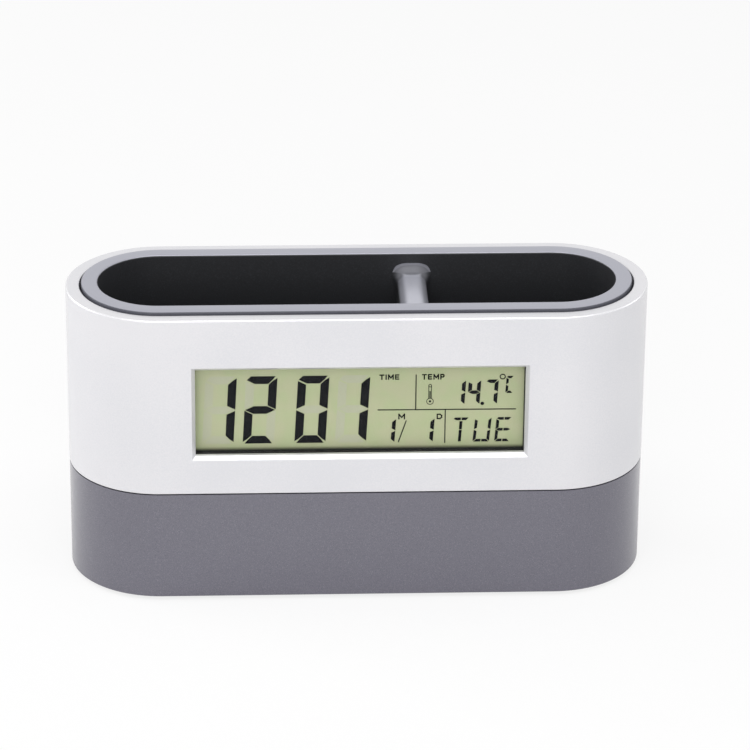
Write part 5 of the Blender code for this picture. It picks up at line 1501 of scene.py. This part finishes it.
def make_door():
    """The door: hooks at one end, and a springy tongue with grip grooves and a nib at the other."""
    door = block("door", around(0, DOOR[0]), around(HOUSING_Y, DOOR[1]), (BASE_BOTTOM, DOOR_TOP))
    round_edges(door, lambda edge: on_line(edge, 2, BASE_BOTTOM), DOOR_EDGE)
    for side in (-1, 1):
        x = (-RECESS[0] - HOOK_REACH, -DOOR[0] + EMBED)
        y = around(HOUSING_Y + side * HOOK_SPREAD / 2, HOOK_WIDTH / 2)
        fuse(door, block("hook", x, y, (DOOR_TOP - HOOK_THICK, DOOR_TOP)))
        x = (DOOR[0] - TONGUE_LENGTH, DOOR[0] + PAST)
        y = around(HOUSING_Y + side * TONGUE_WIDTH / 2, TONGUE_SLOT / 2)
        cut(door, block("tongue_slot", x, y, (BASE_BOTTOM - PAST, DOOR_TOP + PAST)))
    x = (DOOR[0] - EMBED, DOOR[0] + NIB_REACH)
    y = around(HOUSING_Y, TONGUE_WIDTH / 2 - TONGUE_SLOT - FIT)
    fuse(door, block("nib", x, y, (DOOR_TOP - NIB_THICK, DOOR_TOP)))
    for index in range(GRIP_COUNT):
        x = around(DOOR[0] - (index + 1) * GRIP_PITCH, GRIP_WIDTH / 2)
        cut(door, block("grip", x, y, (BASE_BOTTOM - PAST, BASE_BOTTOM + GRIP_DEPTH)))
    dress(door, GREY, "door_body", "speckled_grey", "battery_door")


def make_cell():
    """One cell standing on the origin: a jacket with rounded ends and a nub."""
    length = CELL_HIGH.x - CELL_LOW.x
    shoulder = length - CELL_NUB_LENGTH
    profile = soft_corner(CELL_RADIUS, 0, CELL_EDGE, 1)
    profile += soft_corner(CELL_RADIUS, shoulder, CELL_EDGE, -1)
    profile += [(CELL_NUB, shoulder), (CELL_NUB, length - 0.2 * CELL_NUB_LENGTH)]
    profile += [(0.9 * CELL_NUB, length)]
    return turned("cell", profile)


def make_cells():
    """The two cells, pointing opposite ways."""
    first = make_cell()
    for number, way in ((1, 1), (2, -1)):
        node = f"battery_{number}"
        low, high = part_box(node)
        tail = (low.x if way > 0 else high.x, (low.y + high.y) / 2, CELL_AXIS)
        turn = (0, way * math.pi / 2, 0)
        set_out(first, f"cell_{number}", WRAP, "root", "cell_jacket", node, tail, turn)
    put_away(first)


# Feet and screws


def make_feet():
    profile = soft_corner(FOOT_RADIUS, 0, FOOT_EDGE, 1) + [(FOOT_RADIUS, FOOT_HIGH.z)]
    first = turned("foot", profile)
    for number, (x, y, z) in enumerate(centres("rubber_foot"), start=1):
        node = f"rubber_foot_{number}"
        set_out(first, f"foot_{number}", RUBBER, "root", "foot_rubber", node, (x, y, 0))
    put_away(first)


def make_screw(length, radius, head_radius, head):
    """A screw standing on its point, its head upwards: a pan head with a cross recess."""
    top = length + head
    profile = [(radius / 2, 0), (radius, radius), (radius, length), (head_radius, length)]
    screw = turned("screw", profile + soft_corner(head_radius, top, head / 3, -1))
    arm = 0.62 * head_radius
    thin = 0.14 * head_radius
    deep = 0.55 * head
    for reach_x, reach_y in ((arm, thin), (thin, arm)):
        z = (top - deep, top + PAST)
        cut(screw, block("cross", around(0, reach_x), around(0, reach_y), z))
    return screw


def make_screws():
    """Case, tray and board screws; the first two come up from below, the last from behind."""
    up = (math.pi, 0, 0)
    forward = (-math.pi / 2, 0, 0)
    for kind, radius, head_radius, head, turn, axis in (
        ("case_screw", 1.1 * MM, 2.0 * MM, 1.6 * MM, up, 2),
        ("tray_screw", 1.1 * MM, 2.0 * MM, 1.6 * MM, up, 2),
        ("board_screw", 0.9 * MM, 1.8 * MM, 1.0 * MM, forward, 1),
    ):
        low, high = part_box(f"{kind}_1")
        first = make_screw(high[axis] - low[axis] - head, radius, head_radius, head)
        for number in range(1, 5):
            node = f"{kind}_{number}"
            point = centre_of(node)
            low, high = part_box(node)
            point[axis] = high[axis] if axis == 2 else low[axis]
            set_out(first, f"{node}_turned", STEEL, "root", "zinc_steel", node, point, turn)
        put_away(first)


# Finishes of the solids that stay as they are


def paint_solids():
    for material, names in (
        (STRIPS, ("zebra_strip_lower", "zebra_strip_upper")),
        (BOARD, ("main_board", "key_board")),
        (EPOXY, ("clock_chip", "temperature_sensor")),
        (NICKEL, ("quartz_crystal", "battery_bridge_contact")),
        (NICKEL, ("negative_contact", "positive_contact")),
        (RED, ("positive_wire",)),
        (DARK, ("negative_wire", "buzzer_lead")),
        (RIBBON, ("ribbon_cable",)),
        (BUZZER, ("buzzer",)),
        (BLACK, [f"{name}_{part}" for name in KEY_NAMES for part in ("switch", "plunger")]),
    ):
        for name in names:
            paint(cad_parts[name], material)


make_sleeve()
make_base()
make_tray()
make_pane("lens", CLEAR, "clear_plastic", "window_lens")
make_display_frame()
make_pane("display_glass", GREEN, "lcd_green", "lcd_panel")
make_large_digits()
make_temperature_digits()
make_date_digits()
make_weekday_letters()
make_display_lines()
make_thermometer()
make_display_labels()
make_keys()
make_door()
make_cells()
make_feet()
make_screws()
paint_solids()


# Camera, floor and light


def make_camera():
    """The camera at the photograph's place, turned by its azimuth, elevation and roll."""
    turn = Matrix.Translation(CAMERA_PLACE)
    for angle, axis in ((CAMERA_AZIMUTH, "Z"), (90 - CAMERA_ELEVATION, "X"), (CAMERA_ROLL, "Z")):
        turn = turn @ Matrix.Rotation(math.radians(angle), 4, axis)
    bpy.ops.object.camera_add()
    camera = bpy.context.object
    camera.matrix_world = turn
    camera.data.lens = CAMERA_LENS
    camera.data.sensor_width = CAMERA_SENSOR
    camera.data.clip_start = 0.01
    camera.data.clip_end = 50.0
    bpy.context.scene.camera = camera


def make_lamp(name, spot, size, power):
    """A soft lamp that shines on the middle of the clock."""
    bpy.ops.object.light_add(type="AREA", location=spot)
    lamp = bpy.context.object
    lamp.name = name
    lamp.rotation_euler = (Vector(spot) - LAMP_AIM).to_track_quat("Z", "Y").to_euler()
    lamp.data.shape = "RECTANGLE"
    lamp.data.size = size[0]
    lamp.data.size_y = size[1]
    lamp.data.energy = power


def make_stage():
    bpy.ops.mesh.primitive_plane_add(size=2 * FLOOR_REACH)
    floor = bpy.context.object
    floor.name = "floor"
    finish = Finish("pale_floor", (250, 250, 250), 0.8)
    finish.put("Specular IOR Level", 0.0)
    grain = finish.noise(40 * MM, 2)
    finish.tint(grain, (249, 249, 249), (252, 252, 252))
    white = finish.node("ShaderNodeEmission", None, {"Color": (1, 1, 1, 1), "Strength": 1.0})
    lit = Value(finish, finish.shader.outputs[0])
    camera_ray = finish.node("ShaderNodeLightPath")
    inputs = {0: camera_ray * FLOOR_WHITE, 1: lit, 2: white}
    shown = finish.node("ShaderNodeMixShader", None, inputs)
    finish.tree.links.new(shown.socket, finish.tree.nodes["Material Output"].inputs["Surface"])
    floor.data.materials.append(finish.material)
    world = bpy.data.worlds.new("studio")
    bpy.context.scene.world = world
    world.use_nodes = True
    sky = Nodes(world.node_tree)
    backdrop = world.node_tree.nodes["Background"]
    backdrop.inputs["Color"].default_value = (1, 1, 1, 1)
    sky.feed(backdrop.inputs["Strength"], sky.seen() * (1 - SKY_LIGHT) + SKY_LIGHT)
    make_lamp("key_lamp", (-0.1, -1.15, 0.7), (0.9, 0.9), 6.3)
    make_lamp("strip_lamp", (0, -0.35, 1.1), (1.3, 0.3), 4)
    make_lamp("left_lamp", (-0.9, 0.3, 0.35), (0.6, 0.6), 3.4)
    make_lamp("right_lamp", (0.9, 0.2, 0.35), (0.5, 0.5), 1.0)


make_camera()
make_stage()

scene = bpy.context.scene
scene.view_settings.view_transform = "Standard"
